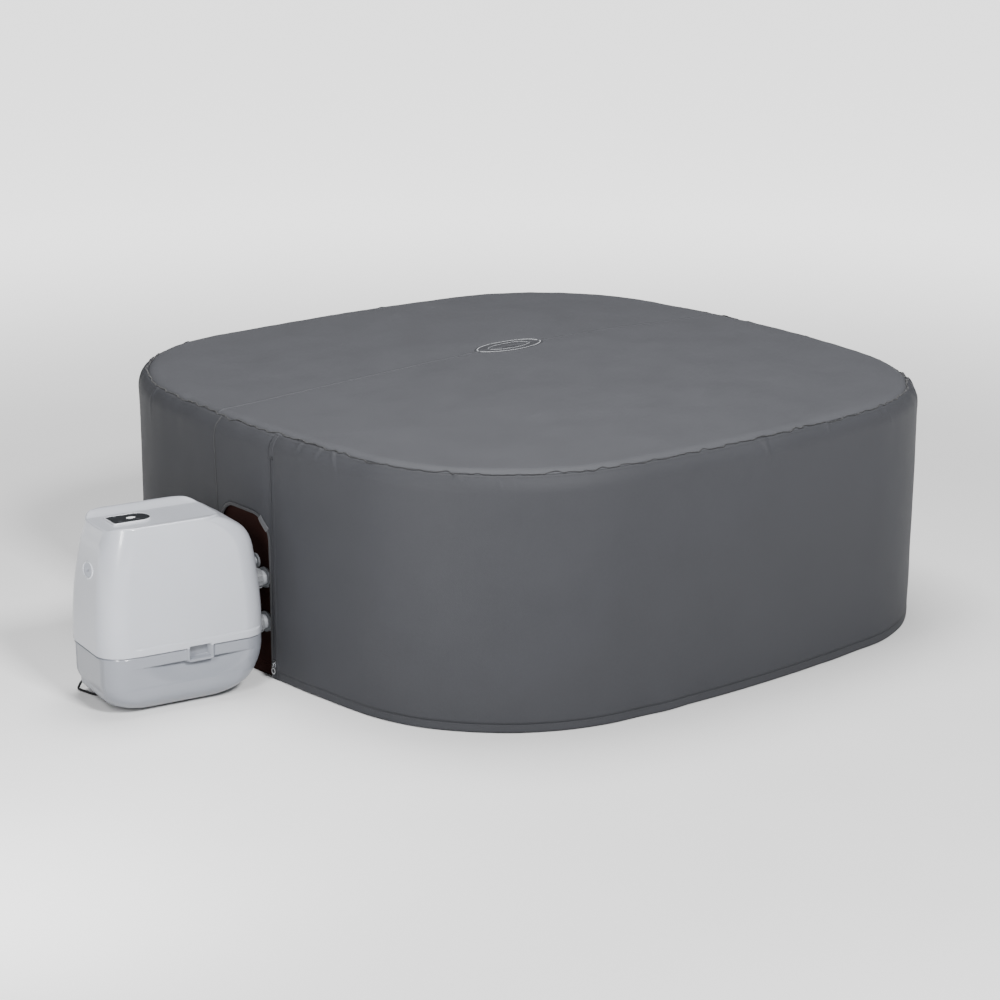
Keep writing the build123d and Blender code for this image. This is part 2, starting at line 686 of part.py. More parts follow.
def build_pump_shells():
    place = pump_place()
    outer = pump_body(0)
    inner = pump_body(PUMP_WALL)
    shell = outer - inner
    above = box(-400, 400, -300, 300, PUMP_SEAM_Z, 700)
    upper = shell & above
    upper -= Pos(0, 0, 400) * extrude(panel_sketch(0), 100)
    base = shell - above
    for name, y, z, r in COUPLINGS:
        bar = Pos(220, y, z) * Rot(0, 90, 0) * Cylinder(r, 120)
        upper -= bar
        base -= bar
    base -= Pos(200, GLAND_Y, GLAND_Z) * Rot(0, 90, 0) * Cylinder(GLAND_R, 100)
    base -= box(POCKET_X0, POCKET_X1, -200, 200, POCKET_Z0, PUMP_SEAM_Z - 3)
    save(place * upper, "pump_upper_shell")
    belt_z = PUMP_SEAM_Z - 4
    belt = (pump_body(-BELT_PROUD) - outer) & box(-400, 400, -300, 300, belt_z, belt_z + BELT_H)
    belt -= box(190, 300, -70, 70, 100, 200)
    save(place * (base + belt), "pump_base_shell")
    build_pockets(place)
    build_feet(place)
    build_front_badge(place, outer)


def pocket_span(side, depth, proud):
    """Y range of a flank pocket from its depth inside the flank to the rim outside it."""
    near = side * (PUMP_W / 2 - depth)
    far = side * (PUMP_W / 2 + proud)
    return min(near, far), max(near, far)


def build_pockets(place):
    """Recessed hand pockets in the flanks, one each side."""
    cups = []
    top = PUMP_SEAM_Z - 4
    for side in (-1, 1):
        cup = box(POCKET_X0, POCKET_X1, *pocket_span(side, POCKET_DEPTH, POCKET_PROUD), POCKET_Z0, top)
        mouth = pocket_span(side, POCKET_DEPTH - POCKET_BACK, 200)
        x0 = POCKET_X0 + POCKET_WALL
        x1 = POCKET_X1 - POCKET_WALL
        cups.append(cup - box(x0, x1, *mouth, POCKET_Z0 + POCKET_WALL, top - POCKET_WALL))
    save(place * Compound(cups), "side_pockets")


def build_feet(place):
    feet = []
    for x in (-110, 60):
        for y in (-62, 62):
            feet.append(Pos(x, y, FOOT_H / 2) * Cylinder(FOOT_R, FOOT_H))
    save(place * Compound(feet), "rubber_feet")


def build_front_badge(place, outer):
    face = Ellipse(FRONT_BADGE_H / 2, FRONT_BADGE_W / 2)
    oval = Pos(-PUMP_L / 2, FRONT_BADGE_Y, FRONT_BADGE_Z) * Rot(0, 90, 0) * extrude(face, 60, both=True)
    plate = (oval & pump_body(-FRONT_BADGE_T)) - outer
    plate &= box(-400, 0, -300, 300, 0, 600)
    save(place * plate, "pump_badge")


def build_panel():
    place = pump_place()
    z0 = PANEL_TOP_Z - PANEL_T
    bezel = Pos(0, 0, z0) * extrude(panel_sketch(0), PANEL_T)
    lens_x = PANEL_FRONT_X + 56
    lens_hole = Pos(lens_x, PANEL_Y, PANEL_TOP_Z - 2) * extrude(Ellipse(12, 7), 10)
    bezel -= lens_hole
    for x, y in key_positions():
        well = KEY_H - KEY_PROUD + KEY_TRAVEL + 0.3
        bezel -= Pos(x, y, PANEL_TOP_Z) * Cylinder(KEY_R + KEY_CLEAR, 2 * well)
    save(place * bezel, "control_panel")
    lens = Pos(lens_x, PANEL_Y, PANEL_TOP_Z - 2) * extrude(Ellipse(12, 7), 2.4)
    save(place * lens, "display_lens")
    for n, (x, y) in enumerate(key_positions()):
        key = Pos(x, y, PANEL_TOP_Z + KEY_PROUD - KEY_H / 2) * Cylinder(KEY_R, KEY_H)
        save(place * key, "key_" + str(n + 1))


# ---------------------------------------------------------------- inside the pump
WET_Y = COUPLINGS[0][1]


def along_x(y, z, r, x0, x1):
    return Pos((x0 + x1) / 2, y, z) * Rot(0, 90, 0) * Cylinder(r, x1 - x0)


def build_pump_insides():
    place = pump_place()
    build_chassis(place)
    build_water_pump(place)
    build_heater(place)
    build_blower(place)
    board = box(-150, -30, -60, 70, BOARD_Z, BOARD_Z + 2)
    for x in (-130, -60):
        for y in (-40, 50):
            board += box(x, x + 16, y, y + 12, BOARD_Z + 1, BOARD_Z + 13)
    save(place * board, "control_board")
    gland = along_x(GLAND_Y, GLAND_Z, GLAND_R, STUB_START_X - 20, STUB_START_X + 6)
    save(place * gland, "cord_gland")


def build_chassis(place):
    """Deck on four posts, with one upright for the board and one for the blower."""
    deck = box(-150, 120, -100, 100, DECK_Z0, DECK_Z1)
    for x in (-140, 110):
        for y in (-88, 88):
            deck += Pos(x, y, DECK_Z0 - 8) * Cylinder(6, 20)
    deck += box(-150, -30, 40, 44, DECK_Z1, BOARD_Z)
    blower_z = COUPLINGS[2][2]
    deck += box(0, 120, 44, 48, DECK_Z1, blower_z - BLOWER_R - 6)
    save(place * (deck & pump_body(PUMP_WALL)), "chassis")


def build_water_pump(place):
    """Motor, volute and impeller on one shaft along the pump's depth."""
    z = SHAFT_Z
    bore_r = PUMP_SHAFT_R + SHAFT_CLEAR
    motor = along_x(WET_Y, z, PUMP_MOTOR_R, PUMP_MOTOR_X0, 0)
    motor += box(PUMP_MOTOR_X0 + 10, -20, WET_Y - 26, WET_Y + 26, DECK_Z1, DECK_Z1 + 18)
    motor -= along_x(WET_Y, z, bore_r, PUMP_MOTOR_X0 + 20, 1)
    save(place * motor, "water_pump_motor")
    volute = along_x(WET_Y, z, VOLUTE_R, 0, VOLUTE_X1)
    volute -= along_x(WET_Y, z, VOLUTE_R - VOLUTE_WALL, 4, VOLUTE_X1 - VOLUTE_WALL)
    volute -= along_x(WET_Y, z, bore_r, -1, 10)
    volute -= along_x(WET_Y, z, HOSE_BORE_R, VOLUTE_X1 - 16, VOLUTE_X1 + 14)
    save(place * volute, "pump_volute")
    impeller = along_x(WET_Y, z, PUMP_SHAFT_R, PUMP_MOTOR_X0 + 30, 32)
    impeller += along_x(WET_Y, z, IMPELLER_R, 12, 16)
    for k in range(6):
        blade = Rot(60 * k, 0, 0) * box(15, 30, -1.2, 1.2, 3, IMPELLER_R - 1)
        impeller += Pos(0, WET_Y, z) * blade
    save(place * impeller, "impeller")


def elbow_run(r, x0, z0, z1, reach):
    """Bar of radius r from the volute up to the intake stub."""
    run = along_x(WET_Y, z0, r, x0, ELBOW_X + 4 + reach)
    run += along_x(WET_Y, z1, r, ELBOW_X - 4 - reach, STUB_START_X + (1 if reach == 0 else 0))
    return run + Pos(ELBOW_X, WET_Y, (z0 + z1) / 2) * Cylinder(r, z1 - z0)


def build_heater(place):
    """Heater tube on the outlet, its element, and the hoses from the water pump."""
    elbow = elbow_run(HOSE_R, VOLUTE_X1, SHAFT_Z, COUPLINGS[1][2], 10)
    bore = elbow_run(HOSE_BORE_R, VOLUTE_X1 - 6, SHAFT_Z, COUPLINGS[1][2], 0)
    hoses = [place * (elbow - bore)]
    z = COUPLINGS[0][2]
    heater = along_x(WET_Y, z, HEATER_R, HEATER_X0, HEATER_X1)
    heater -= along_x(WET_Y, z, HEATER_R - HEATER_WALL, HEATER_X0 + 4, HEATER_X1 - 4)
    heater -= along_x(WET_Y, z, HOSE_BORE_R, HEATER_X1 - 10, HEATER_X1 + 10)
    heater -= Pos(RISER_X, WET_Y, z - HEATER_R + 1) * Cylinder(RISER_R, 20)
    save(place * heater, "heater_tube")
    z0 = SHAFT_Z + PUMP_MOTOR_R
    z1 = z - HEATER_R + HEATER_WALL
    riser = Pos(RISER_X, WET_Y, (z0 + z1) / 2) * (Cylinder(RISER_R, z1 - z0) - Cylinder(RISER_BORE_R, z1))
    hoses.append(place * riser)
    link = along_x(WET_Y, z, HOSE_R, HEATER_X1, STUB_START_X)
    link -= along_x(WET_Y, z, HOSE_BORE_R, HEATER_X1 - 1, STUB_START_X + 1)
    hoses.append(place * link)
    save(Compound(hoses), "water_hoses")
    element = None
    for y in (WET_Y - 8, WET_Y + 8):
        bar = along_x(y, z, 4, HEATER_X0 + 4, HEATER_X1 - 30)
        element = bar if element is None else element + bar
    save(place * element, "heater_element")


def build_blower(place):
    """Radial blower on the far side of the water pipes, with its check valve to the air stub."""
    name, y, z, r = COUPLINGS[2]
    shaft = FAN_SHAFT_R + SHAFT_CLEAR
    house = along_x(BLOWER_Y, z, BLOWER_R, BLOWER_X0, BLOWER_X1)
    house -= along_x(BLOWER_Y, z, BLOWER_R - BLOWER_WALL, BLOWER_X0 + 4, BLOWER_X1 - 4)
    house -= along_x(BLOWER_Y, z, shaft, BLOWER_X0 - 10, BLOWER_X0 + 6)
    house -= along_x(BLOWER_Y, z, 10, BLOWER_X1 - 10, BLOWER_X1 + 10)
    save(place * house, "blower_housing")
    motor = along_x(BLOWER_Y, z, FAN_MOTOR_R, BLOWER_X0 - 50, BLOWER_X0)
    motor -= along_x(BLOWER_Y, z, shaft, BLOWER_X0 - 40, BLOWER_X0 + 1)
    save(place * motor, "blower_motor")
    fan = along_x(BLOWER_Y, z, FAN_SHAFT_R, BLOWER_X0 - 30, BLOWER_X0 + 14)
    fan += along_x(BLOWER_Y, z, FAN_R, BLOWER_X0 + 14, BLOWER_X0 + 17)
    for k in range(8):
        blade = box(BLOWER_X0 + 16, BLOWER_X0 + 38, -1, 1, 8, FAN_R - 1)
        fan += Pos(0, BLOWER_Y, z) * (Rot(45 * k, 0, 0) * blade)
    save(place * fan, "blower_fan")
    hose = along_x(BLOWER_Y, z, r, BLOWER_X1, BLOWER_X1 + 40)
    hose -= along_x(BLOWER_Y, z, r - PIPE_WALL, BLOWER_X1 - 1, BLOWER_X1 + 28)
    hose += box(BLOWER_X1 + 26, BLOWER_X1 + 50, y - 14, BLOWER_Y + 12, z - 14, z + 14)
    hose -= box(BLOWER_X1 + 29, BLOWER_X1 + 47, y - 10, BLOWER_Y + 9, z - 10, z + 10)
    hose -= along_x(BLOWER_Y, z, r - PIPE_WALL, BLOWER_X1 - 1, BLOWER_X1 + 32)
    hose -= along_x(y, z, r - PIPE_WALL, BLOWER_X1 + 40, BLOWER_X1 + 60)
    valve = along_x(y, z, r + 3, BLOWER_X1 + 50, STUB_START_X)
    valve -= along_x(y, z, r - PIPE_WALL, BLOWER_X1 + 49, STUB_START_X + 1)
    save(place * Compound([hose, valve]), "air_manifold")


def build_wire_foot():
    """Bent steel rod on the ground in front of the pump, its ends in the base."""
    root = [(WIRE_ROOT_X, WIRE_ROOT_Z), (WIRE_BEND_X, WIRE_BEND_Z), (WIRE_TIP_X, WIRE_R)]
    points = [(x, WIRE_FAR_Y, z) for x, z in root]
    points += [(x, WIRE_NEAR_Y, z) for x, z in reversed(root)]
    rod = None
    for a, b in zip(points[:-1], points[1:]):
        path = Line(a, b)
        bar = sweep(Plane(origin=a, z_dir=Vector(*b) - Vector(*a)) * Circle(WIRE_R), path)
        rod = bar if rod is None else rod + bar
    for p in points[1:-1]:
        rod += Pos(*p) * Sphere(WIRE_R)
    save(pump_place() * (rod - pump_body(0)), "wire_foot")


build_cover()
build_tub()
build_couplings()
build_filter()
build_valves()
build_lid()
build_pump_shells()
build_panel()
build_pump_insides()
build_wire_foot()
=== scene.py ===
"""Inflatable hot tub in its jacket, with its pump unit. Metres, +Z up."""
import math

import bpy
import bmesh
import numpy as np
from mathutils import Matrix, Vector


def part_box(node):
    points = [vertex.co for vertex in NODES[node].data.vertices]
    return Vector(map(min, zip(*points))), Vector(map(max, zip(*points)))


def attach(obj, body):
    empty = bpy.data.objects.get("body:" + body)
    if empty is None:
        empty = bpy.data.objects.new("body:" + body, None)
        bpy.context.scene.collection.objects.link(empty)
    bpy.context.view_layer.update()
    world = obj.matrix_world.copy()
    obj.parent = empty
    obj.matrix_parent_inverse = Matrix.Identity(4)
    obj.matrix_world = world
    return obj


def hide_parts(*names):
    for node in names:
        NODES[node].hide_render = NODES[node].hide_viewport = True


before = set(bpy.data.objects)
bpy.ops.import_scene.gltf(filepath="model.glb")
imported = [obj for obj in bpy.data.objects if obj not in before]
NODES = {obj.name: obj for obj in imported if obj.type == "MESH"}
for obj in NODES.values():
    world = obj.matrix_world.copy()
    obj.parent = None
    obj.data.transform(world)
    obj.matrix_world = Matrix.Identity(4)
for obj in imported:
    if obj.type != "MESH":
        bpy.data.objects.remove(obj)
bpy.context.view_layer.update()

# ---------------------------------------------------------------- sizes shared with the CAD model
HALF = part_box("cover_skirt")[1].x
CORNER_R = 0.530
SIDE_R = 3.700
RIM_Z = 0.657
RIM_R = 0.055
SEAM_INSET = 0.026
DOME_R = 0.920
DOME_RISE = 0.026
TOP_SEAM_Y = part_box("cover_top_front")[1].y
HEM_Z0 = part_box("cover_hem")[0].z
HEM_Z1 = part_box("cover_hem")[1].z
NOTCH_Y0, NOTCH_Y1, NOTCH_TOP, NOTCH_R = -0.098, 0.118, 0.430, 0.066
BINDING_W = 0.008
PANEL_Y1 = 0.132
ZIP_Y = -0.116
ZIP_HALF = 0.008
ZIP_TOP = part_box("zip_chain")[1].z
PUMP_POS = (-1.185, -0.010)
PUMP_TURN = math.radians(-9.0)
PUMP_L, PUMP_W, PUMP_H, FOOT_H = 0.444, 0.262, 0.478, 0.005
TUB_INSET = 0.010
RING_W = 0.252
TUB_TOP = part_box("tub_top_panel")[1].z
TUB_EDGE_R = 0.049
TUB_WEBS = 12
LID_INSET = 0.150
LID_RIB_PITCH = 0.165


# ---------------------------------------------------------------- mesh helpers
def add_mesh(name, verts, faces, smooth=True):
    me = bpy.data.meshes.new(name)
    me.from_pydata([tuple(v) for v in verts], [], [tuple(int(i) for i in f) for f in faces])
    me.update()
    bm = bmesh.new()
    bm.from_mesh(me)
    bmesh.ops.recalc_face_normals(bm, faces=bm.faces)
    bm.to_mesh(me)
    bm.free()
    ob = bpy.data.objects.new(name, me)
    bpy.context.scene.collection.objects.link(ob)
    if smooth:
        me.polygons.foreach_set("use_smooth", [True] * len(me.polygons))
    return ob


def grid_faces(rows, cols, wrap=False, base=0):
    """Quads of a rows by cols grid of vertices; wrap joins the last column to the first."""
    n = cols if wrap else cols - 1
    r, c = np.meshgrid(np.arange(rows - 1), np.arange(n), indexing="ij")
    c2 = (c + 1) % cols
    q = np.stack([r * cols + c, r * cols + c2, (r + 1) * cols + c2, (r + 1) * cols + c], -1)
    return (q.reshape(-1, 4) + base).tolist()


def shell(name, outer, inner, wrap=False):
    """Closed thin body between two grids of points of the same size."""
    rows, cols = outer.shape[:2]
    n = rows * cols
    verts = np.concatenate([outer.reshape(-1, 3), inner.reshape(-1, 3)])
    faces = grid_faces(rows, cols, wrap)
    faces += [f[::-1] for f in grid_faces(rows, cols, wrap, n)]
    last = (rows - 1) * cols
    for c in range(cols if wrap else cols - 1):
        d = (c + 1) % cols
        faces.append((c, n + c, n + d, d))
        faces.append((last + c, last + d, n + last + d, n + last + c))
    if not wrap:
        for r in range(rows - 1):
            a, b = r * cols, (r + 1) * cols
            faces.append((a, b, n + b, n + a))
            a, b = a + cols - 1, b + cols - 1
            faces.append((a, n + a, n + b, b))
    return add_mesh(name, verts, faces)


def smoothstep(a, b, x):
    t = np.clip((x - a) / (b - a), 0, 1)
    return t * t * (3 - 2 * t)


class Ripple:
    """Smooth random field over 3-D points: a seeded sum of waves between two wavelengths."""

    def __init__(self, seed, shortest, longest, waves=22):
        r = np.random.default_rng(seed)
        length = shortest * (longest / shortest) ** r.random(waves)
        d = r.normal(size=(waves, 3))
        d /= np.linalg.norm(d, axis=1)[:, None]
        self.k = d * (2 * np.pi / length)[:, None]
        self.phase = r.random(waves) * 2 * np.pi
        self.gain = math.sqrt(2 / waves)

    def __call__(self, p):
        return np.sin(p @ self.k.T + self.phase).sum(-1) * self.gain


# ---------------------------------------------------------------- plan and skin of the jacket
SIDE_C = HALF - SIDE_R
REACH = SIDE_R - CORNER_R
CORNER_Q = (SIDE_C + math.sqrt(2 * REACH * REACH - SIDE_C * SIDE_C)) / 2
SIDE_ANGLE = math.atan2(CORNER_Q, CORNER_Q - SIDE_C)
SIDE_LEN = 2 * SIDE_R * SIDE_ANGLE
QUARTER = SIDE_LEN + CORNER_R * (math.pi / 2 - 2 * SIDE_ANGLE)
AROUND = 4 * QUARTER


def plan(s):
    """Point and outward normal on the jacket's outline; s runs from the pump side's middle towards -Y."""
    u = np.asarray(s, float) + SIDE_LEN / 2
    k = np.floor(u / QUARTER)
    u = u - k * QUARTER
    on_side = u < SIDE_LEN
    a = np.where(on_side, u / SIDE_R - SIDE_ANGLE, SIDE_ANGLE + (u - SIDE_LEN) / CORNER_R)
    r = np.where(on_side, SIDE_R, CORNER_R)
    cx = np.where(on_side, SIDE_C, CORNER_Q)
    cy = np.where(on_side, 0.0, CORNER_Q)
    x, y = cx + r * np.cos(a), cy + r * np.sin(a)
    t = np.pi + k * np.pi / 2
    c, w = np.cos(t), np.sin(t)
    point = np.stack([x * c - y * w, x * w + y * c], -1)
    nx, ny = np.cos(a), np.sin(a)
    return point, np.stack([nx * c - ny * w, nx * w + ny * c], -1)


def inset_of(x, y):
    """How far inside the jacket's outline a plan point lies."""
    ax, ay = np.abs(x), np.abs(y)
    one = np.arctan2(ay, ax - SIDE_C) < SIDE_ANGLE
    two = np.arctan2(ax, ay - SIDE_C) < SIDE_ANGLE
    d1 = SIDE_R - np.hypot(ax - SIDE_C, ay)
    d2 = SIDE_R - np.hypot(ay - SIDE_C, ax)
    d3 = CORNER_R - np.hypot(ax - CORNER_Q, ay - CORNER_Q)
    return np.where(one, d1, np.where(two, d2, d3))


WALL_Z = RIM_Z - RIM_R
SEAM_PHI = math.acos(1 - SEAM_INSET / RIM_R)
SEAM_V = WALL_Z + RIM_R * SEAM_PHI
SEAM_Z = WALL_Z + RIM_R * math.sin(SEAM_PHI)

broad = Ripple(3, 0.45, 1.1)
middle = Ripple(5, 0.10, 0.26)
fine = Ripple(8, 0.022, 0.055, 30)
edge_wave = Ripple(11, 0.10, 0.24)
fold_wave = Ripple(17, 0.05, 0.12)


def soften(h, floor=-0.0007):
    """Lets the fabric bulge outwards, and keeps it from sinking into what it covers."""
    return floor + 0.5 * (h - floor + np.sqrt((h - floor) ** 2 + 4e-7))


def make_creases(seed):
    """Short slanted tucks that start at the rim seam: place, slant, length and height of each."""
    r = np.random.default_rng(seed)
    bunches = QUARTER * (np.arange(4) + 0.5)
    place = np.repeat(bunches, 9) + 0.06 * r.normal(size=36)
    loose = AROUND * r.random(30)
    place = np.concatenate([place, loose])
    n = len(place)
    return np.stack([place, 0.25 + 0.35 * r.normal(size=n), 0.04 + 0.08 * r.random(n),
                     0.0020 + 0.0022 * r.random(n)], -1)


CREASES = make_creases(41)


def crease_relief(s, down):
    """Height of the tucks at the distance down from the rim seam."""
    h = np.zeros(np.shape(s))
    for place, slant, length, depth in CREASES:
        across = (s - place + AROUND / 2) % AROUND - AROUND / 2 - slant * down
        near = np.abs(across) < 0.03
        tuck = np.exp(-(across / 0.0060) ** 2) - 0.55 * np.exp(-((across - 0.011) / 0.007) ** 2)
        fade = np.clip(1 - down / length, 0, 1) ** 1.5
        h += np.where(near, depth * tuck * fade * smoothstep(0.0, 0.006, down), 0.0)
    return h


def lift(x, y):
    """The jacket stands a little higher along its far sides, most of all at the far left corner."""
    far = smoothstep(-0.1, 0.5, 0.608 * x + 0.739 * y)
    corner = np.exp(-(((x + 0.74) ** 2 + (y - 0.74) ** 2) / 0.10))
    return 0.011 * far + 0.013 * corner


def skirt_relief(p, s, v):
    """Height of the fabric's soft waves, folds and seam puckers above the plain wall."""
    to_seam = SEAM_V - v
    flat = p * np.array([1, 1, 0.25])
    h = 0.0016 * broad(p) + 0.00035 * middle(p)
    h += 0.0010 * edge_wave(flat) * np.exp(-v / 0.10)
    h += 0.0007 * fold_wave(flat) * np.exp(-to_seam / 0.09)
    h += 0.00022 * fine(flat) * np.exp(-to_seam / 0.020)
    h += crease_relief(s, to_seam)
    from_zip = (s + ZIP_Y + AROUND / 2) % AROUND - AROUND / 2
    calm = np.exp(-((from_zip / 0.03) ** 2))
    h = soften(h) * (1 - calm) - 0.0007 * calm
    return h - 0.0022 * np.exp(-((to_seam / 0.005) ** 2))


def skin(s, v, off=0.0):
    """Points on the skirt's skin: s around, v up from the ground and over the rounded rim."""
    s, v = np.broadcast_arrays(np.asarray(s, float), np.asarray(v, float))
    point, n = plan(s)
    phi = np.clip((v - WALL_Z) / RIM_R, 0, None)
    inset = RIM_R * (1 - np.cos(phi))
    z = np.where(v < WALL_Z, v, WALL_Z + RIM_R * np.sin(phi))
    base = np.concatenate([point - n * inset[..., None], z[..., None]], -1)
    base[..., 2] += lift(base[..., 0], base[..., 1]) * smoothstep(0.25, SEAM_Z, z)
    normal = np.concatenate([n * np.cos(phi)[..., None], np.sin(phi)[..., None]], -1)
    return base + normal * (skirt_relief(base, s, v) + off)[..., None]


top_broad = Ripple(21, 0.35, 0.9)
top_mid = Ripple(23, 0.09, 0.22)
top_fine = Ripple(27, 0.022, 0.06, 30)


def top_height(x, y):
    """Height of the jacket's top: rounded rim, low crown, soft sag and puckers."""
    d = inset_of(x, y)
    edge = np.clip(RIM_R - d, 0, RIM_R)
    z = RIM_Z - RIM_R + np.sqrt(np.maximum(RIM_R ** 2 - edge ** 2, 0))
    r = np.hypot(x, y)
    z = z + DOME_RISE * np.clip(1 - (r / DOME_R) ** 2, 0, 1) ** 1.5 + lift(x, y)
    p = np.stack([x, y, np.zeros_like(x)], -1)
    from_seam = d - SEAM_INSET
    inner = smoothstep(0.0, 0.08, from_seam)
    h = (0.0014 * top_broad(p) + 0.0004 * top_mid(p)) * inner
    h += 0.00022 * top_fine(p) * np.exp(-from_seam / 0.025)
    h += 0.0004 * fold_wave(p) * np.exp(-from_seam / 0.07)
    across = np.abs(y - TOP_SEAM_Y)
    h += 0.0004 * top_fine(p) * np.exp(-across / 0.02)
    h = soften(h, -0.0004) - 0.0020 * np.exp(-((from_seam / 0.005) ** 2))
    return z + h - 0.0012 * np.exp(-((across / 0.007) ** 2))


# ---------------------------------------------------------------- materials
class Nodes:
    """A node material with short calls."""

    def __init__(self, name):
        self.mat = bpy.data.materials.new(name)
        self.mat.use_nodes = True
        self.tree = self.mat.node_tree
        self.tree.nodes.clear()
        out = self.add("ShaderNodeOutputMaterial")
        self.bsdf = self.add("ShaderNodeBsdfPrincipled")
        self.link(self.bsdf.outputs[0], out.inputs[0])
        self.pos = self.add("ShaderNodeTexCoord").outputs["Object"]

    def add(self, kind, **values):
        node = self.tree.nodes.new(kind)
        for k, v in values.items():
            setattr(node, k, v)
        return node

    def link(self, a, b):
        self.tree.links.new(a, b)

    def noise(self, scale, detail=3.0, rough=0.5, stretch=None):
        n = self.add("ShaderNodeTexNoise")
        n.inputs["Scale"].default_value = scale
        n.inputs["Detail"].default_value = detail
        n.inputs["Roughness"].default_value = rough
        self.link(self.scaled(stretch), n.inputs["Vector"])
        return n.outputs["Fac"]

    def voronoi(self, scale, feature="F1", stretch=None):
        n = self.add("ShaderNodeTexVoronoi", feature=feature)
        n.inputs["Scale"].default_value = scale
        self.link(self.scaled(stretch), n.inputs["Vector"])
        return n.outputs["Distance"]

    def scaled(self, stretch):
        if stretch is None:
            return self.pos
        m = self.add("ShaderNodeMapping")
        m.inputs["Scale"].default_value = stretch
        self.link(self.pos, m.inputs["Vector"])
        return m.outputs[0]

    def ramp(self, fac, stops):
        n = self.add("ShaderNodeValToRGB")
        cr = n.color_ramp
        while len(cr.elements) < len(stops):
            cr.elements.new(0.5)
        for e, (at, col) in zip(cr.elements, stops):
            e.position = at
            e.color = (*col, 1) if len(col) == 3 else col
        self.link(fac, n.inputs[0])
        return n.outputs["Color"]

    def map(self, fac, lo, hi, a=0.0, b=1.0):
        n = self.add("ShaderNodeMapRange")
        n.inputs["From Min"].default_value = a
        n.inputs["From Max"].default_value = b
        n.inputs["To Min"].default_value = lo
        n.inputs["To Max"].default_value = hi
        self.link(fac, n.inputs["Value"])
        return n.outputs[0]

    def math(self, op, a, b):
        n = self.add("ShaderNodeMath", operation=op)
        for i, v in enumerate((a, b)):
            if isinstance(v, (int, float)):
                n.inputs[i].default_value = v
            else:
                self.link(v, n.inputs[i])
        return n.outputs[0]

    def bump(self, height, distance, strength=1.0):
        n = self.add("ShaderNodeBump")
        n.inputs["Distance"].default_value = distance
        n.inputs["Strength"].default_value = strength
        self.link(height, n.inputs["Height"])
        self.link(n.outputs[0], self.bsdf.inputs["Normal"])

    def set(self, **values):
        for k, v in values.items():
            self.bsdf.inputs[k.replace("_", " ")].default_value = v


def shade(col, f):
    return tuple(min(1.0, c * f) for c in col)


def leatherette(name, col, grain=900.0):
    """Coated jacket fabric: fine pebble grain, faint mottling, light dust."""
    m = Nodes(name)
    mottle = m.noise(7.0, 5.0, 0.6)
    speck = m.noise(160.0, 2.0, 0.6)
    mixed = m.math("ADD", m.math("MULTIPLY", mottle, 0.65), m.math("MULTIPLY", speck, 0.35))
    tones = m.ramp(mixed, [(0.3, shade(col, 0.94)), (0.5, col), (0.72, shade(col, 1.06))])
    m.link(tones, m.bsdf.inputs["Base Color"])
    m.link(m.map(mottle, 0.50, 0.66), m.bsdf.inputs["Roughness"])
    pebble = m.math("ADD", m.voronoi(grain), m.math("MULTIPLY", m.noise(grain * 0.35, 3.0), 0.8))
    m.bump(pebble, 0.00035, 0.6)
    m.set(Specular_IOR_Level=0.14, Sheen_Weight=0.0)
    return m.mat


def webbing(name, col, pitch=1100.0):
    """Woven tape."""
    m = Nodes(name)
    w1 = m.add("ShaderNodeTexWave", wave_type="BANDS", bands_direction="Z")
    w1.inputs["Scale"].default_value = pitch / 6.283
    w1.inputs["Distortion"].default_value = 0.6
    m.link(m.pos, w1.inputs["Vector"])
    w2 = m.add("ShaderNodeTexWave", wave_type="BANDS", bands_direction="DIAGONAL")
    w2.inputs["Scale"].default_value = pitch / 6.283
    m.link(m.pos, w2.inputs["Vector"])
    both = m.math("MULTIPLY", w1.outputs["Fac"], w2.outputs["Fac"])
    tones = m.ramp(both, [(0.0, shade(col, 0.65)), (0.6, col), (1.0, shade(col, 1.25))])
    m.link(tones, m.bsdf.inputs["Base Color"])
    m.bump(both, 0.0004, 0.7)
    m.set(Roughness=0.75, Specular_IOR_Level=0.3, Sheen_Weight=0.2)
    return m.mat


def moulded(name, col, rough=0.38, grain=1400.0, coat=0.0, spec=0.5, bump=0.00006):
    """Moulded plastic: faint orange peel, slight tone drift and wear in the gloss."""
    m = Nodes(name)
    drift = m.noise(5.0, 4.0, 0.55)
    peel = m.noise(grain, 2.0, 0.5)
    m.link(m.ramp(drift, [(0.3, shade(col, 0.955)), (0.7, shade(col, 1.03))]), m.bsdf.inputs["Base Color"])
    scuff = m.noise(38.0, 6.0, 0.7)
    m.link(m.map(scuff, rough - 0.02, rough + 0.04), m.bsdf.inputs["Roughness"])
    m.bump(peel, bump, 0.4)
    m.set(Specular_IOR_Level=spec, Coat_Weight=coat, Coat_Roughness=0.10)
    return m.mat


def pvc(name, col, rough=0.42, cell=260.0, gloss=0.15):
    """Laminated PVC sheet: pressed fabric grain and soft gloss."""
    m = Nodes(name)
    drift = m.noise(4.0, 4.0, 0.6)
    m.link(m.ramp(drift, [(0.3, shade(col, 0.85)), (0.7, shade(col, 1.2))]), m.bsdf.inputs["Base Color"])
    cloth = m.math("ADD", m.voronoi(cell * 3.2), m.math("MULTIPLY", m.noise(cell, 2.0), 0.5))
    m.link(m.map(drift, rough - 0.05, rough + 0.08), m.bsdf.inputs["Roughness"])
    m.bump(cloth, 0.0003, 0.5)
    m.set(Specular_IOR_Level=gloss)
    return m.mat


def metal(name, col, rough=0.25, stretch=(1, 1, 1)):
    m = Nodes(name)
    grain = m.noise(600.0, 3.0, 0.6, stretch)
    m.link(m.ramp(grain, [(0.3, shade(col, 0.85)), (0.7, shade(col, 1.08))]), m.bsdf.inputs["Base Color"])
    m.link(m.map(grain, rough - 0.07, rough + 0.1), m.bsdf.inputs["Roughness"])
    m.bump(grain, 0.00005, 0.4)
    m.set(Metallic=1.0)
    return m.mat


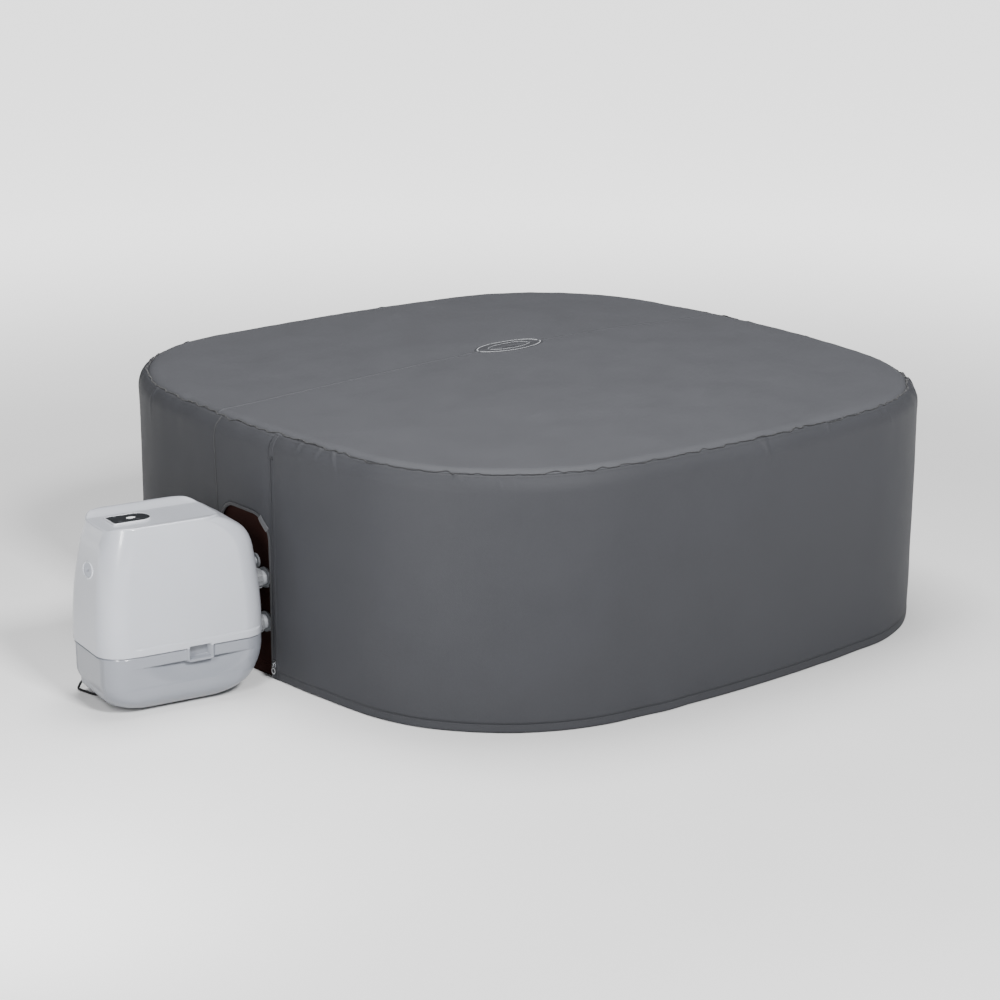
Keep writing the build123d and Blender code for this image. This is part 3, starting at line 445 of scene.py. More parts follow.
def thread(name, col):
    m = Nodes(name)
    twist = m.noise(2400.0, 1.0)
    m.link(m.ramp(twist, [(0.3, shade(col, 0.7)), (0.7, shade(col, 1.2))]), m.bsdf.inputs["Base Color"])
    m.bump(twist, 0.0002, 0.6)
    m.set(Roughness=0.6)
    return m.mat


def pleats_painted_shade(name, col):
    m = Nodes(name)
    w = m.add("ShaderNodeTexWave", wave_type="RINGS", rings_direction="Y")
    w.inputs["Scale"].default_value = 40.0
    m.link(m.pos, w.inputs["Vector"])
    # the paper darkens to half in each pleat's low valley: painted shade in the folds
    m.link(m.ramp(w.outputs["Fac"], [(0.0, shade(col, 0.5)), (1.0, col)]), m.bsdf.inputs["Base Color"])
    m.bump(w.outputs["Fac"], 0.002, 0.8)
    m.set(Roughness=0.85)
    return m.mat


M = {
    "jacket": leatherette("jacket", (0.0405, 0.0416, 0.0464)),
    # the same jacket fabric painted lighter for the top panels: a painted highlight for the stronger light
    # falling on the top
    "jacket_top_painted_lighter": leatherette("jacket_top_painted_lighter", (0.0640, 0.0655, 0.0722)),
    # piping: the real seam cord, coloured near-black as painted shade for the shadow line along the rim
    # seam and the panel seam
    "piping": webbing("piping", (0.0150, 0.0155, 0.0180), 900.0),
    "binding": webbing("binding", (0.0340, 0.0350, 0.0390), 900.0),
    "stitch": thread("stitch", (0.036, 0.037, 0.041)),
    "badge": leatherette("badge", (0.045, 0.046, 0.0508), 1300.0),
    "badge_line": moulded("badge_line", (0.40, 0.41, 0.43), 0.45),
    "light_tab": webbing("light_tab", (0.085, 0.087, 0.095), 1500.0),
    "coil": moulded("coil", (0.030, 0.031, 0.034), 0.5, spec=0.3),
    "zip_metal": metal("zip_metal", (0.72, 0.73, 0.75), 0.22),
    "tub_pvc": pvc("tub_pvc", (0.0250, 0.0105, 0.0088), 0.8, gloss=0.03),
    "liner": pvc("liner", (0.36, 0.39, 0.41), 0.35, 180.0),
    "lid_pvc": pvc("lid_pvc", (0.27, 0.285, 0.31), 0.4, 200.0),
    "shell": moulded("shell", (0.365, 0.378, 0.413), 0.30, coat=0.6, bump=0.00002),
    # base: the pump's plastic painted about half as bright as the shell, painted shade for its
    # downward-facing lower body
    "base": moulded("base", (0.188, 0.199, 0.225), 0.32, coat=0.45, bump=0.00002),
    "pump_badge": moulded("pump_badge", (0.30, 0.32, 0.37), 0.28, coat=0.4),
    "pump_badge_rim": moulded("pump_badge_rim", (0.50, 0.52, 0.56), 0.2, coat=0.5),
    "panel": moulded("panel", (0.010, 0.011, 0.013), 0.45, spec=0.2),
    "panel_rim": moulded("panel_rim", (0.45, 0.46, 0.49), 0.25, coat=0.3),
    "lens": moulded("lens", (0.80, 0.82, 0.84), 0.3, coat=0.2),
    "key": moulded("key", (0.030, 0.032, 0.036), 0.5, spec=0.2),
    "nut": moulded("nut", (0.15, 0.155, 0.165), 0.26, coat=0.35, bump=0.0001),
    "pipe": moulded("pipe", (0.25, 0.26, 0.28), 0.42),
    "cap": moulded("cap", (0.10, 0.10, 0.108), 0.45),
    "rubber": moulded("rubber", (0.022, 0.022, 0.023), 0.65, grain=700.0, spec=0.3, bump=0.00015),
    "rod": moulded("rod", (0.008, 0.008, 0.009), 0.35, spec=0.5),
    "inner": moulded("inner", (0.05, 0.05, 0.055), 0.5),
    "hose": moulded("hose", (0.03, 0.03, 0.032), 0.6, spec=0.3),
    "motor": metal("motor", (0.42, 0.42, 0.44), 0.45),
    "steel": metal("steel", (0.55, 0.55, 0.56), 0.3, (1, 12, 12)),
    "board": moulded("board", (0.012, 0.085, 0.03), 0.4),
    "paper": pleats_painted_shade("paper", (0.8, 0.8, 0.76)),
}


def finish_piece(ob, mat, body, replaces=()):
    """Material, riding body and the CAD nodes that the piece stands for."""
    ob.data.materials.clear()
    ob.data.materials.append(M[mat])
    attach(ob, body)
    if replaces:
        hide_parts(*replaces)
    return ob


# ---------------------------------------------------------------- jacket
def span(a, b, step):
    return np.linspace(a, b, max(2, int(round(abs(b - a) / step)) + 1))


def wall_rows(v0, v1, step=0.009):
    """Row heights, closer together near the seam at the top."""
    body = span(v0, v1 - 0.07, step)
    return np.concatenate([body, np.linspace(v1 - 0.07, v1, 24)[1:]])


def build_skirt():
    s = span(-ZIP_Y + ZIP_HALF, AROUND - PANEL_Y1, 0.004)
    v = wall_rows(HEM_Z1 - 0.002, SEAM_V)
    S, V = np.meshgrid(s, v)
    ob = shell("jacket_skirt", skin(S, V), skin(S, V, -0.003))
    finish_piece(ob, "jacket", "cover", ["cover_skirt"])
    return ob


def arch_path(grow, n_side, n_corner, n_top):
    """Notch outline as (s, v) pairs from the front foot over the top to the rear foot."""
    s0, s1 = -NOTCH_Y0 + grow, -NOTCH_Y1 - grow
    r = NOTCH_R + grow
    top = NOTCH_TOP + grow
    foot = HEM_Z0
    pts = [(s0, v) for v in np.linspace(foot, top - r, n_side, endpoint=False)]
    for a in np.linspace(0, math.pi / 2, n_corner, endpoint=False):
        pts.append((s0 - r + r * math.cos(a), top - r + r * math.sin(a)))
    pts += [(s, top) for s in np.linspace(s0 - r, s1 + r, n_top, endpoint=False)]
    for a in np.linspace(math.pi / 2, math.pi, n_corner, endpoint=False):
        pts.append((s1 + r + r * math.cos(a), top - r + r * math.sin(a)))
    pts += [(s1, v) for v in np.linspace(top - r, foot, n_side)]
    return np.array(pts)


def build_pump_panel():
    n_side, n_corner, n_top = 40, 26, 22
    inner = arch_path(BINDING_W, n_side, n_corner, n_top)
    s0, s1 = -NOTCH_Y0 + BINDING_W + 0.0005, -PANEL_Y1
    shoulder = NOTCH_TOP - NOTCH_R
    outer = [(s0, v) for v in np.linspace(HEM_Z0, shoulder, n_side, endpoint=False)]
    outer += [(s0, v) for v in np.linspace(shoulder, SEAM_V, n_corner, endpoint=False)]
    outer += [(s, SEAM_V) for s in np.linspace(s0, s1, n_top, endpoint=False)]
    outer += [(s1, v) for v in np.linspace(SEAM_V, shoulder, n_corner, endpoint=False)]
    outer += [(s1, v) for v in np.linspace(shoulder, HEM_Z0, n_side)]
    outer = np.array(outer)
    k = np.linspace(0, 1, 26)[:, None, None]
    both = inner[None] * (1 - k) + outer[None] * k
    S, V = both[..., 0], both[..., 1]
    ob = shell("jacket_pump_panel", skin(S, V, 0.0002), skin(S, V, -0.003))
    finish_piece(ob, "jacket", "cover", ["cover_pump_panel"])


def bead(name, path_s, path_v, radius, rise, mat, replaces=(), body="cover", sides=8, closed=False):
    """Round cord of the given radius laid along (s, v) points on the jacket's skin."""
    c = skin(path_s, path_v, rise)
    t = np.roll(c, -1, 0) - np.roll(c, 1, 0)
    if not closed:
        t[0], t[-1] = c[1] - c[0], c[-1] - c[-2]
    t /= np.linalg.norm(t, axis=1)[:, None]
    out = skin(path_s, path_v, rise + 0.01) - c
    out -= (out * t).sum(1)[:, None] * t
    out /= np.linalg.norm(out, axis=1)[:, None]
    side = np.cross(t, out)
    a = np.arange(sides) * 2 * np.pi / sides
    ring = np.cos(a)[None, :, None] * out[:, None] + np.sin(a)[None, :, None] * side[:, None]
    pts = c[:, None] + ring * radius
    n = len(c)
    verts = pts.reshape(-1, 3)
    faces = []
    for i in range(n if closed else n - 1):
        j = (i + 1) % n
        for k in range(sides):
            m = (k + 1) % sides
            faces.append((i * sides + k, i * sides + m, j * sides + m, j * sides + k))
    if not closed:
        faces.append(tuple(range(sides)))
        faces.append(tuple((n - 1) * sides + k for k in range(sides))[::-1])
    ob = add_mesh(name, verts, faces)
    return finish_piece(ob, mat, body, replaces)


def stitches(name, s, v, rise=0.0004, length=0.0042, gap=0.0030, radius=0.00055, at=None):
    """Row of short thread stitches along a path given at even steps; at turns (s, v) into points."""
    at = at or (lambda a, b, off: skin(a, b, off))
    c = at(s, v, 0.0)
    step = np.linalg.norm(np.diff(c, axis=0), axis=1)
    dist = np.concatenate([[0], np.cumsum(step)])
    starts = np.arange(0, dist[-1] - length, length + gap)
    k = np.linspace(0, 1, 5)
    d = (starts[:, None] + k[None] * length).ravel()
    ss, vv = np.interp(d, dist, s), np.interp(d, dist, v)
    arc = np.tile(np.sin(k * np.pi), len(starts))
    mid = at(ss, vv, rise * 0.2 + arc * rise).reshape(-1, 5, 3)
    up = (at(ss, vv, 0.01) - at(ss, vv, 0.0)).reshape(-1, 5, 3)
    up /= np.linalg.norm(up, axis=2)[..., None]
    along = mid[:, -1:] - mid[:, :1]
    along /= np.linalg.norm(along, axis=2)[..., None]
    side = np.cross(along, up)
    size = radius * (0.35 + 0.65 * np.sin(k * np.pi))[None, :, None, None]
    a = np.arange(5) * 2 * np.pi / 5
    cos, sin = np.cos(a)[None, None, :, None], np.sin(a)[None, None, :, None]
    ring = cos * up[:, :, None] + sin * side[:, :, None]
    pts = mid[:, :, None] + ring * size
    verts = pts.reshape(-1, 3)
    one = []
    for i in range(4):
        for j in range(5):
            m = (j + 1) % 5
            one.append((i * 5 + j, i * 5 + m, (i + 1) * 5 + m, (i + 1) * 5 + j))
    one = np.array(one)
    faces = (one[None] + (np.arange(len(starts)) * 25)[:, None, None]).reshape(-1, 4)
    ends = []
    for b in range(len(starts)):
        ends.append(tuple(b * 25 + j for j in range(5)))
        ends.append(tuple(b * 25 + 20 + j for j in range(5))[::-1])
    ob = add_mesh(name, verts, faces.tolist() + ends)
    return finish_piece(ob, "stitch", "cover")


def build_hem():
    s = span(-ZIP_Y + ZIP_HALF, AROUND - NOTCH_Y1 - BINDING_W, 0.009)
    ring = np.array([(0.0, -0.0035), (0.0, -0.001), (0.0012, 0.0002), (0.006, 0.0004), (0.0165, 0.0003),
                     (0.0208, 0.0001), (0.0222, -0.0002), (0.0225, -0.001), (0.0225, -0.0035)])
    S = np.broadcast_to(s[None], (len(ring), len(s)))
    V = np.broadcast_to(HEM_Z0 + ring[:, :1], S.shape)
    off = np.broadcast_to(ring[:, 1:], S.shape)
    inner_off = np.minimum(off, -0.0030) - 0.0006
    ob = shell("jacket_hem", skin(S, V, off), skin(S, V, inner_off))
    finish_piece(ob, "jacket", "cover", ["cover_hem"])
    stitches("hem_stitches", s, np.full_like(s, HEM_Z1 - 0.0045), rise=0.0006, radius=0.0003)


def build_rim_seam():
    s = np.linspace(0, AROUND, 1100, endpoint=False)
    wave = 0.0016 * fine(np.stack([s, s * 0, s * 0], -1))
    # the piping bead is coloured dark: real cord plus painted shade for the seam's shadow line
    bead("cover_piping_bead", s, np.full_like(s, SEAM_V) + wave * 1.5, 0.0019, 0.0003, "piping",
         ["cover_piping"], sides=10, closed=True)
    s2 = np.linspace(0, AROUND, 2600)
    stitches("rim_stitches_wall", s2, np.full_like(s2, SEAM_V - 0.0105), rise=0.0004, radius=0.00035)


def build_binding():
    path = arch_path(BINDING_W / 2, 60, 34, 30)
    centre = arch_path(0.0, 60, 34, 30)
    wide = arch_path(BINDING_W, 60, 34, 30)
    k = np.array([0.0, 0.06, 0.2, 0.5, 0.8, 0.94, 1.0])[:, None, None]
    both = centre[None] * (1 - k) + wide[None] * k
    off = np.array([-0.0004, 0.0006, 0.0010, 0.0011, 0.0010, 0.0006, 0.0001])[:, None]
    S, V = both[..., 0], both[..., 1]
    ob = shell("notch_binding_tape", skin(S, V, np.broadcast_to(off, S.shape)), skin(S, V, -0.0042))
    finish_piece(ob, "binding", "cover", ["notch_binding"])
    mid = path[::2]
    stitches("binding_stitches", mid[:, 0], mid[:, 1], rise=0.0012, radius=0.0004)


def build_panel_seams():
    """Lapped seam where the pump panel meets the skirt, with a double stitch row."""
    v = span(HEM_Z0, SEAM_V - 0.004, 0.006)
    wobble = 0.0012 * fine(np.stack([v * 0, v * 0, v], -1))
    across = np.array([-0.0022, -0.0018, 0.0, 0.0018, 0.0022])
    rise = np.array([-0.0003, 0.0006, 0.0008, 0.0006, -0.0003])
    S = -PANEL_Y1 + across[None, :] + wobble[:, None]
    V = np.broadcast_to(v[:, None], S.shape)
    ob = shell("panel_seam", skin(S, V, np.broadcast_to(rise, S.shape)), skin(S, V, -0.0012))
    # the seam tape takes the dark piping colour: painted shade for the seam's shadow line
    finish_piece(ob, "piping", "cover")
    for side, d in (("far", -0.0052), ("near", 0.0052)):
        stitches(f"panel_seam_stitch_{side}", -PANEL_Y1 + d + wobble, v, rise=0.0004, radius=0.00035)


def build_zip():
    v = span(HEM_Z0, ZIP_TOP, 0.006)
    s_mid = -ZIP_Y
    for k, (a, b) in enumerate(((-ZIP_HALF - 0.002, -0.0015), (0.0015, ZIP_HALF + 0.0010))):
        S, V = np.meshgrid(s_mid + np.linspace(a, b, 7), v)
        curl = 0.0002 + 0.0005 * np.exp(-((S - s_mid) / 0.0035) ** 2)
        ob = shell(f"zip_lip_{k}", skin(S, V, curl), skin(S, V, -0.0024))
        finish_piece(ob, "jacket", "cover", ["zip_tapes"] if k == 0 else [])
    # the jacket closes over the zip above its top stop
    across = s_mid + np.linspace(-ZIP_HALF - 0.002, ZIP_HALF + 0.001, 5)
    S, V = np.meshgrid(across, wall_rows(ZIP_TOP - 0.004, SEAM_V))
    ob = shell("zip_top_patch", skin(S, V, 0.0004), skin(S, V, -0.0025))
    finish_piece(ob, "jacket", "cover")
    build_coil(s_mid)


def build_coil(s_mid):
    """Zip chain: pairs of bent wire loops on both sides of the middle."""
    pitch, wire = 0.0024, 0.00062
    count = int((ZIP_TOP - HEM_Z0 - 0.004) / pitch)
    t = np.linspace(0, 1, 7)
    loop_s = np.array([-0.0020, -0.0012, -0.0003, 0.0005, 0.0003, -0.0008, -0.0019])
    loop_o = np.array([-0.0004, 0.0004, 0.0007, 0.0002, -0.0004, -0.0007, -0.0008])
    a = np.arange(6) * np.pi / 3
    cos, sin = np.cos(a)[None, :, None], np.sin(a)[None, :, None]
    verts, faces = [], []
    for i in range(count):
        v0 = HEM_Z0 + 0.002 + i * pitch
        flip = 1 if i % 2 else -1
        c = skin(s_mid + flip * loop_s, v0 + t * pitch * 0.25, loop_o)
        tan = np.gradient(c, axis=0)
        tan /= np.linalg.norm(tan, axis=1)[:, None]
        up = np.tile(np.array([[0.0, 0.0, 1.0]]), (7, 1))
        side = np.cross(tan, up)
        side /= np.linalg.norm(side, axis=1)[:, None]
        up = np.cross(side, tan)
        ring = c[:, None] + wire * (cos * side[:, None] + sin * up[:, None])
        base = len(verts)
        verts.extend(ring.reshape(-1, 3))
        faces += grid_faces(7, 6, True, base)
        faces.append(tuple(base + k for k in range(6)))
        faces.append(tuple(base + 36 + k for k in range(6))[::-1])
    ob = add_mesh("zip_coil", verts, faces)
    finish_piece(ob, "coil", "cover", ["zip_chain"])


def build_notch_tab():
    """Folded webbing loop sewn across the binding at the notch's upper corner."""
    reach, turn = NOTCH_R + BINDING_W / 2, math.radians(45)
    s_mid = -NOTCH_Y0 - NOTCH_R + reach * math.cos(turn)
    v_mid = NOTCH_TOP - NOTCH_R + reach * math.sin(turn)
    a, b = np.meshgrid(np.linspace(-0.0075, 0.0075, 9), np.linspace(-0.021, 0.021, 24))
    S = s_mid + a * math.cos(turn) - b * math.sin(turn)
    V = v_mid + a * math.sin(turn) + b * math.cos(turn)
    bulge = 0.0022 + 0.0012 * np.cos(b / 0.021 * math.pi / 2)
    ob = shell("notch_pull_tab", skin(S, V, bulge), skin(S, V, bulge - 0.0014))
    finish_piece(ob, "light_tab", "cover", ["notch_tab"])


def top_point(x, y, off=0.0):
    return np.stack([x, y, top_height(x, y) + off], -1)


def build_top():
    """Both top panels: rings from the rim seam to the middle, cut along the panel seam."""
    s = np.linspace(0, AROUND, 720, endpoint=False)
    point, n = plan(s)
    edge = point - n * SEAM_INSET
    f = np.concatenate([1 - np.linspace(0, 0.10, 34), np.linspace(0.90, 0.012, 110)[1:]])
    xy = edge[None] * f[:, None, None]
    top = top_point(xy[..., 0], xy[..., 1])
    rows, cols = top.shape[:2]
    verts = np.concatenate([top.reshape(-1, 3), top_point(np.array([0.0]), np.array([0.0]))])
    faces = grid_faces(rows, cols, True)
    last = (rows - 1) * cols
    faces += [(last + c, last + (c + 1) % cols, rows * cols) for c in range(cols)]
    panels = (("jacket_top_front", "cover_top_front", -1), ("jacket_top_rear", "cover_top_rear", 1))
    for name, node, keep in panels:
        ob = add_mesh(name, verts, faces)
        bm = bmesh.new()
        bm.from_mesh(ob.data)
        geom = bm.verts[:] + bm.edges[:] + bm.faces[:]
        bmesh.ops.bisect_plane(bm, geom=geom, dist=1e-7, plane_co=(0, TOP_SEAM_Y, 0), plane_no=(0, 1, 0),
                               clear_outer=keep < 0, clear_inner=keep > 0)
        area = sum(fc.calc_area() for fc in bm.faces)
        bm.to_mesh(ob.data)
        bm.free()
        solid = ob.modifiers.new("skin", "SOLIDIFY")
        solid.thickness = 0.003
        solid.offset = -1
        # the top panels take the jacket fabric painted lighter: painted highlight for the light on the top
        finish_piece(ob, "jacket_top_painted_lighter", "cover", [node])


def build_top_seam():
    """Lapped, double-stitched seam across the top."""
    x_end = half_width_at(TOP_SEAM_Y)
    x = span(-x_end, x_end, 0.008)
    across = np.array([-0.0065, -0.0058, -0.0020, 0.0020, 0.0058, 0.0065])
    rise = np.array([-0.0002, 0.0012, 0.0018, 0.0018, 0.0012, -0.0002])
    X, A = np.meshgrid(x, across, indexing="ij")
    Y = TOP_SEAM_Y + A
    ob = shell("top_seam_tape", top_point(X, Y, np.broadcast_to(rise, X.shape)), top_point(X, Y, -0.0012))
    # the top seam tape also takes the jacket fabric painted lighter: painted highlight
    finish_piece(ob, "jacket_top_painted_lighter", "cover")
    for j, d in enumerate((-0.0042, 0.0042)):
        y = np.full_like(x, TOP_SEAM_Y + d)
        stitches(f"top_seam_stitch_{j}", x, y, rise=0.0016, radius=0.0004, at=top_point)


def half_width_at(y, inset=SEAM_INSET):
    """Half width of the plan at offset y, at this inset."""
    lo, hi = 0.0, 1.2
    for _ in range(50):
        mid = (lo + hi) / 2
        if inset_of(np.array(mid), np.array(y)) > inset:
            lo = mid
        else:
            hi = mid
    return lo


def build_badge():
    """Plain oval patch with a raised light outline and nothing written on it."""
    lo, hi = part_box("cover_badge")
    cx, cy = (lo.x + hi.x) / 2, (lo.y + hi.y) / 2
    a, b = (hi.x - lo.x) / 2, (hi.y - lo.y) / 2
    t = np.linspace(0, 2 * np.pi, 120, endpoint=False)
    f = np.array([0.02, 0.3, 0.6, 0.85, 0.96, 0.99, 1.0])
    off = np.array([0.0012, 0.0012, 0.0012, 0.0012, 0.0011, 0.0008, -0.0004])
    X = cx + a * f[:, None] * np.cos(t)
    Y = cy + b * f[:, None] * np.sin(t)
    outer = top_point(X, Y, np.broadcast_to(off[:, None], X.shape))
    ob = shell("top_badge", outer, top_point(X, Y, -0.0006), wrap=True)
    finish_piece(ob, "badge", "cover", ["cover_badge"])
    for name, f0, f1 in (("top_badge_line", 0.90, 0.935), ("top_badge_line_inner", 0.60, 0.615)):
        g = np.linspace(f0, f1, 5)
        h = np.array([0.0008, 0.0016, 0.0017, 0.0016, 0.0008])
        squash = 0.03 if f0 > 0.8 else 0.10
        X = cx + (a * g[:, None]) * np.cos(t)
        Y = cy + (b * (g[:, None] - squash)) * np.sin(t)
        outer = top_point(X, Y, np.broadcast_to(h[:, None], X.shape))
        ob = shell(name, outer, top_point(X, Y, 0.0), wrap=True)
        finish_piece(ob, "badge_line", "cover")


# ---------------------------------------------------------------- pump unit
def place_pump(p):
    c, w = math.cos(PUMP_TURN), math.sin(PUMP_TURN)
    x, y = p[..., 0], p[..., 1]
    return np.stack([PUMP_POS[0] + x * c - y * w, PUMP_POS[1] + x * w + y * c, p[..., 2]], -1)


def rounding(r, h):
    h = np.clip(h, 0, r)
    return r - np.sqrt(np.maximum(r * r - (r - h) ** 2, 0))


BELLY_Z = 0.178
PLAN_R = 0.066
SEAM_Y_Z = 0.154


def pump_section(z):
    h = z - FOOT_H
    rise = np.clip((z - BELLY_Z) / (PUMP_H - BELLY_Z), 0, None)
    front = -PUMP_L / 2 + rounding(0.078, h) + 0.040 * rise ** 2
    back = PUMP_L / 2 - rounding(0.129, h) - 0.034 * rise ** 2 - rounding(0.098, PUMP_H - z)
    half = PUMP_W / 2 - rounding(0.047, h) - 0.020 * rise ** 1.6
    return front, back, half


def outline_params(n_side=70, n_end=40, n_corner=30):
    """Unit outline of a rounded rectangle: corner index, corner angle and straight shares."""
    q = []
    for k in range(4):
        a0 = k * math.pi / 2
        for a in np.linspace(a0, a0 + math.pi / 2, n_corner, endpoint=False):
            q.append((k, a, 0.0))
        n = n_end if k % 2 else n_side
        for t in np.linspace(0, 1, n, endpoint=False):
            q.append((k, a0 + math.pi / 2, t))
    return np.array(q)


def rounded_outline(front, back, half, r, q):
    """Points and normals of a rounded rectangle for arrays of sizes."""
    cx = np.array([1, -1, -1, 1])
    cy = np.array([1, 1, -1, -1])
    k = q[:, 0].astype(int)
    a, t = q[:, 1], q[:, 2]
    nxt = (k + 1) % 4
    mid, hx, hy = (front + back) / 2, (back - front) / 2 - r, half - r
    x0, y0 = cx[k] * hx[:, None], cy[k] * hy[:, None]
    x1, y1 = cx[nxt] * hx[:, None], cy[nxt] * hy[:, None]
    straight = t > 0
    px = np.where(straight, x0 + (x1 - x0) * t, x0)
    py = np.where(straight, y0 + (y1 - y0) * t, y0)
    nx, ny = np.cos(a), np.sin(a)
    return mid[:, None] + px + r[:, None] * nx, py + r[:, None] * ny, nx, ny


def trough_z(x, y):
    """Height of the pump's top: flat-floored channel between two rails."""
    away = np.abs(y)
    ramp = np.clip((0.100 - away) / 0.038, 0, 1)
    depth = 0.0105 * (0.75 * ramp + 0.25 * smoothstep(0, 1, ramp))
    in_panel = np.minimum(0.032 - np.abs(y - 0.004), np.minimum(x + 0.142, -0.060 - x))
    depth = depth + 0.0025 * smoothstep(0.0, 0.004, in_panel)
    return PUMP_H - depth


def body_relief(x, y, z, nx, ny):
    """Mouldings on the pump's walls, as a height along the normal."""
    h = 0.0018 * smoothstep(SEAM_Y_Z - 0.0004, SEAM_Y_Z + 0.0010, z)
    h -= 0.0034 * np.exp(-((z - SEAM_Y_Z + 0.0016) / 0.0016) ** 2)
    flank = smoothstep(0.45, 0.8, np.abs(ny))
    along = smoothstep(-0.165, -0.115, x) * (1 - smoothstep(0.185, 0.215, x))
    belt = smoothstep(SEAM_Y_Z, SEAM_Y_Z + 0.001, z) * (1 - smoothstep(0.1715, 0.1755, z))
    h += 0.0034 * belt * flank * along
    # scoop under the belt
    reach = smoothstep(-0.160, -0.02, x) * (1 - smoothstep(0.06, 0.200, x))
    low_end = 0.122 - 0.052 * np.sqrt(np.clip(reach, 0, 1))
    down = np.clip((0.122 - z) / np.maximum(0.122 - low_end, 1e-4), 0, 1)
    inside = smoothstep(0.1232, 0.1208, z) * (1 - down) ** 1.2
    h -= 0.0165 * reach * inside * flank
    # lower chine
    h += 0.0012 * smoothstep(0.071, 0.067, z) * smoothstep(0.02, 0.04, z) * flank
    # recessed panel low on the front
    front = smoothstep(0.75, 0.9, -nx)
    py = smoothstep(-0.094, -0.088, y) * (1 - smoothstep(0.100, 0.106, y))
    pz = smoothstep(0.036, 0.056, z) * (1 - smoothstep(0.1440, 0.1466, z))
    h -= 0.0075 * front * py * pz
    return h


def pocket_relief(x, z):
    """Raised rectangular frame with a deep hand pocket in each flank."""
    cx, cz, a, b, r = 0.030, 0.141, 0.036, 0.0235, 0.007
    dx, dz = np.abs(x - cx) - (a - r), np.abs(z - cz) - (b - r)
    d = np.hypot(np.maximum(dx, 0), np.maximum(dz, 0)) + np.minimum(np.maximum(dx, dz), 0) - r
    rim = 0.0048 * (1 - smoothstep(-0.0006, 0.0018, d))
    cup = 0.0250 * (1 - smoothstep(-0.0078, -0.0060, d))
    return rim, cup, d


def build_pump_shells():
    q = outline_params(150, 70, 34)
    top_r = 0.006
    low = FOOT_H + 0.06 * (1 - np.cos(np.linspace(0, math.pi / 2, 44)))
    zs = np.concatenate([low, span(low[-1], SEAM_Y_Z - 0.0006, 0.0016)[1:]])
    shoulder, edge_z = 0.385, PUMP_H - top_r
    closing = edge_z - (edge_z - shoulder) * (1 - np.sin(np.linspace(0, math.pi / 2, 40)))
    zs_up = np.concatenate([span(SEAM_Y_Z - 0.0006, 0.185, 0.0014), span(0.185, shoulder, 0.0045)[1:],
                            closing[1:]])
    fillet = np.linspace(0, math.pi / 2, 9)[1:]

    def wall(z_rows):
        front, back, half = pump_section(z_rows)
        r = np.minimum(PLAN_R, half - 0.004)
        x, y, nx, ny = rounded_outline(front, back, half, r, q)
        z = np.broadcast_to(z_rows[:, None], x.shape)
        return x, y, z, nx, ny

    def wall_points(z_rows):
        x, y, z, nx, ny = wall(z_rows)
        h = body_relief(x, y, z, nx, ny)
        rim, cup, d = pocket_relief(x, z)
        flank = np.abs(ny) > 0.9
        flat_rim = np.where(flank & (d < 0.0016), 1.0, 0.0)
        h = np.where(flat_rim > 0, h * smoothstep(-0.0004, 0.0016, d) + rim - cup, h)
        return np.stack([x + nx * h, y + ny * h, z], -1), nx, ny

    low_pts = wall_points(zs)[0]
    up_pts, nx, ny = wall_points(zs_up)
    # the top edge follows the channel's height, then rolls over by a small radius
    share = smoothstep(shoulder, edge_z, up_pts[..., 2])
    drop = PUMP_H - trough_z(up_pts[-1, :, 0], up_pts[-1, :, 1])
    up_pts[..., 2] -= share * drop[None] * smoothstep(0.0, 1.0, share)
    rolled = []
    edge = up_pts[-1]
    for a in fillet:
        row = edge.copy()
        row[:, 0] -= nx * top_r * (1 - math.cos(a))
        row[:, 1] -= ny * top_r * (1 - math.cos(a))
        row[:, 2] += top_r * math.sin(a)
        rolled.append(row)
    last = rolled[-1]
    centre = np.array([(last[:, 0].max() + last[:, 0].min()) / 2, 0.0])
    f = np.concatenate([1 - np.linspace(0, 0.25, 34)[1:], np.linspace(0.75, 0.01, 56)[1:]])
    cap = []
    for k in f:
        xy = centre + (last[:, :2] - centre) * k
        z_in = trough_z(xy[:, 0], xy[:, 1])
        z_edge = trough_z(last[:, 0], last[:, 1])
        blend = smoothstep(1.0, 0.9, np.full(len(xy), k))
        above = last[:, 2] - z_edge
        cap.append(np.column_stack([xy, z_in + above * (1 - blend)]))
    upper = np.concatenate([up_pts, np.array(rolled), np.array(cap)])
    make_pump_piece("pump_upper_skin", upper, True, "shell", ["pump_upper_shell"])
    floor = []
    first = low_pts[0]
    mid = first[:, :2].mean(0)
    for k in np.linspace(0.02, 0.97, 14):
        floor.append(np.column_stack([mid + (first[:, :2] - mid) * k, np.full(len(first), FOOT_H)]))
    base = np.concatenate([np.array(floor), low_pts])
    hidden = ["pump_base_shell", "side_pockets"]
    # the lower body takes the pump plastic painted darker: painted shade where it faces down
    make_pump_piece("pump_base_skin", base, False, "base", hidden)


def make_pump_piece(name, rows, closed_end, mat, replaces):
    pts = place_pump(rows)
    n, m = pts.shape[:2]
    faces = grid_faces(n, m, True)
    faces.append(tuple(range((n - 1) * m, n * m)) if closed_end else tuple(range(m))[::-1])
    ob = add_mesh(name, pts.reshape(-1, 3), faces)
    return finish_piece(ob, mat, "tub", replaces)


def local_shell(name, outer, inner, mat, replaces=(), wrap=False, body="tub"):
    ob = shell(name, place_pump(outer), place_pump(inner), wrap)
    return finish_piece(ob, mat, body, replaces)


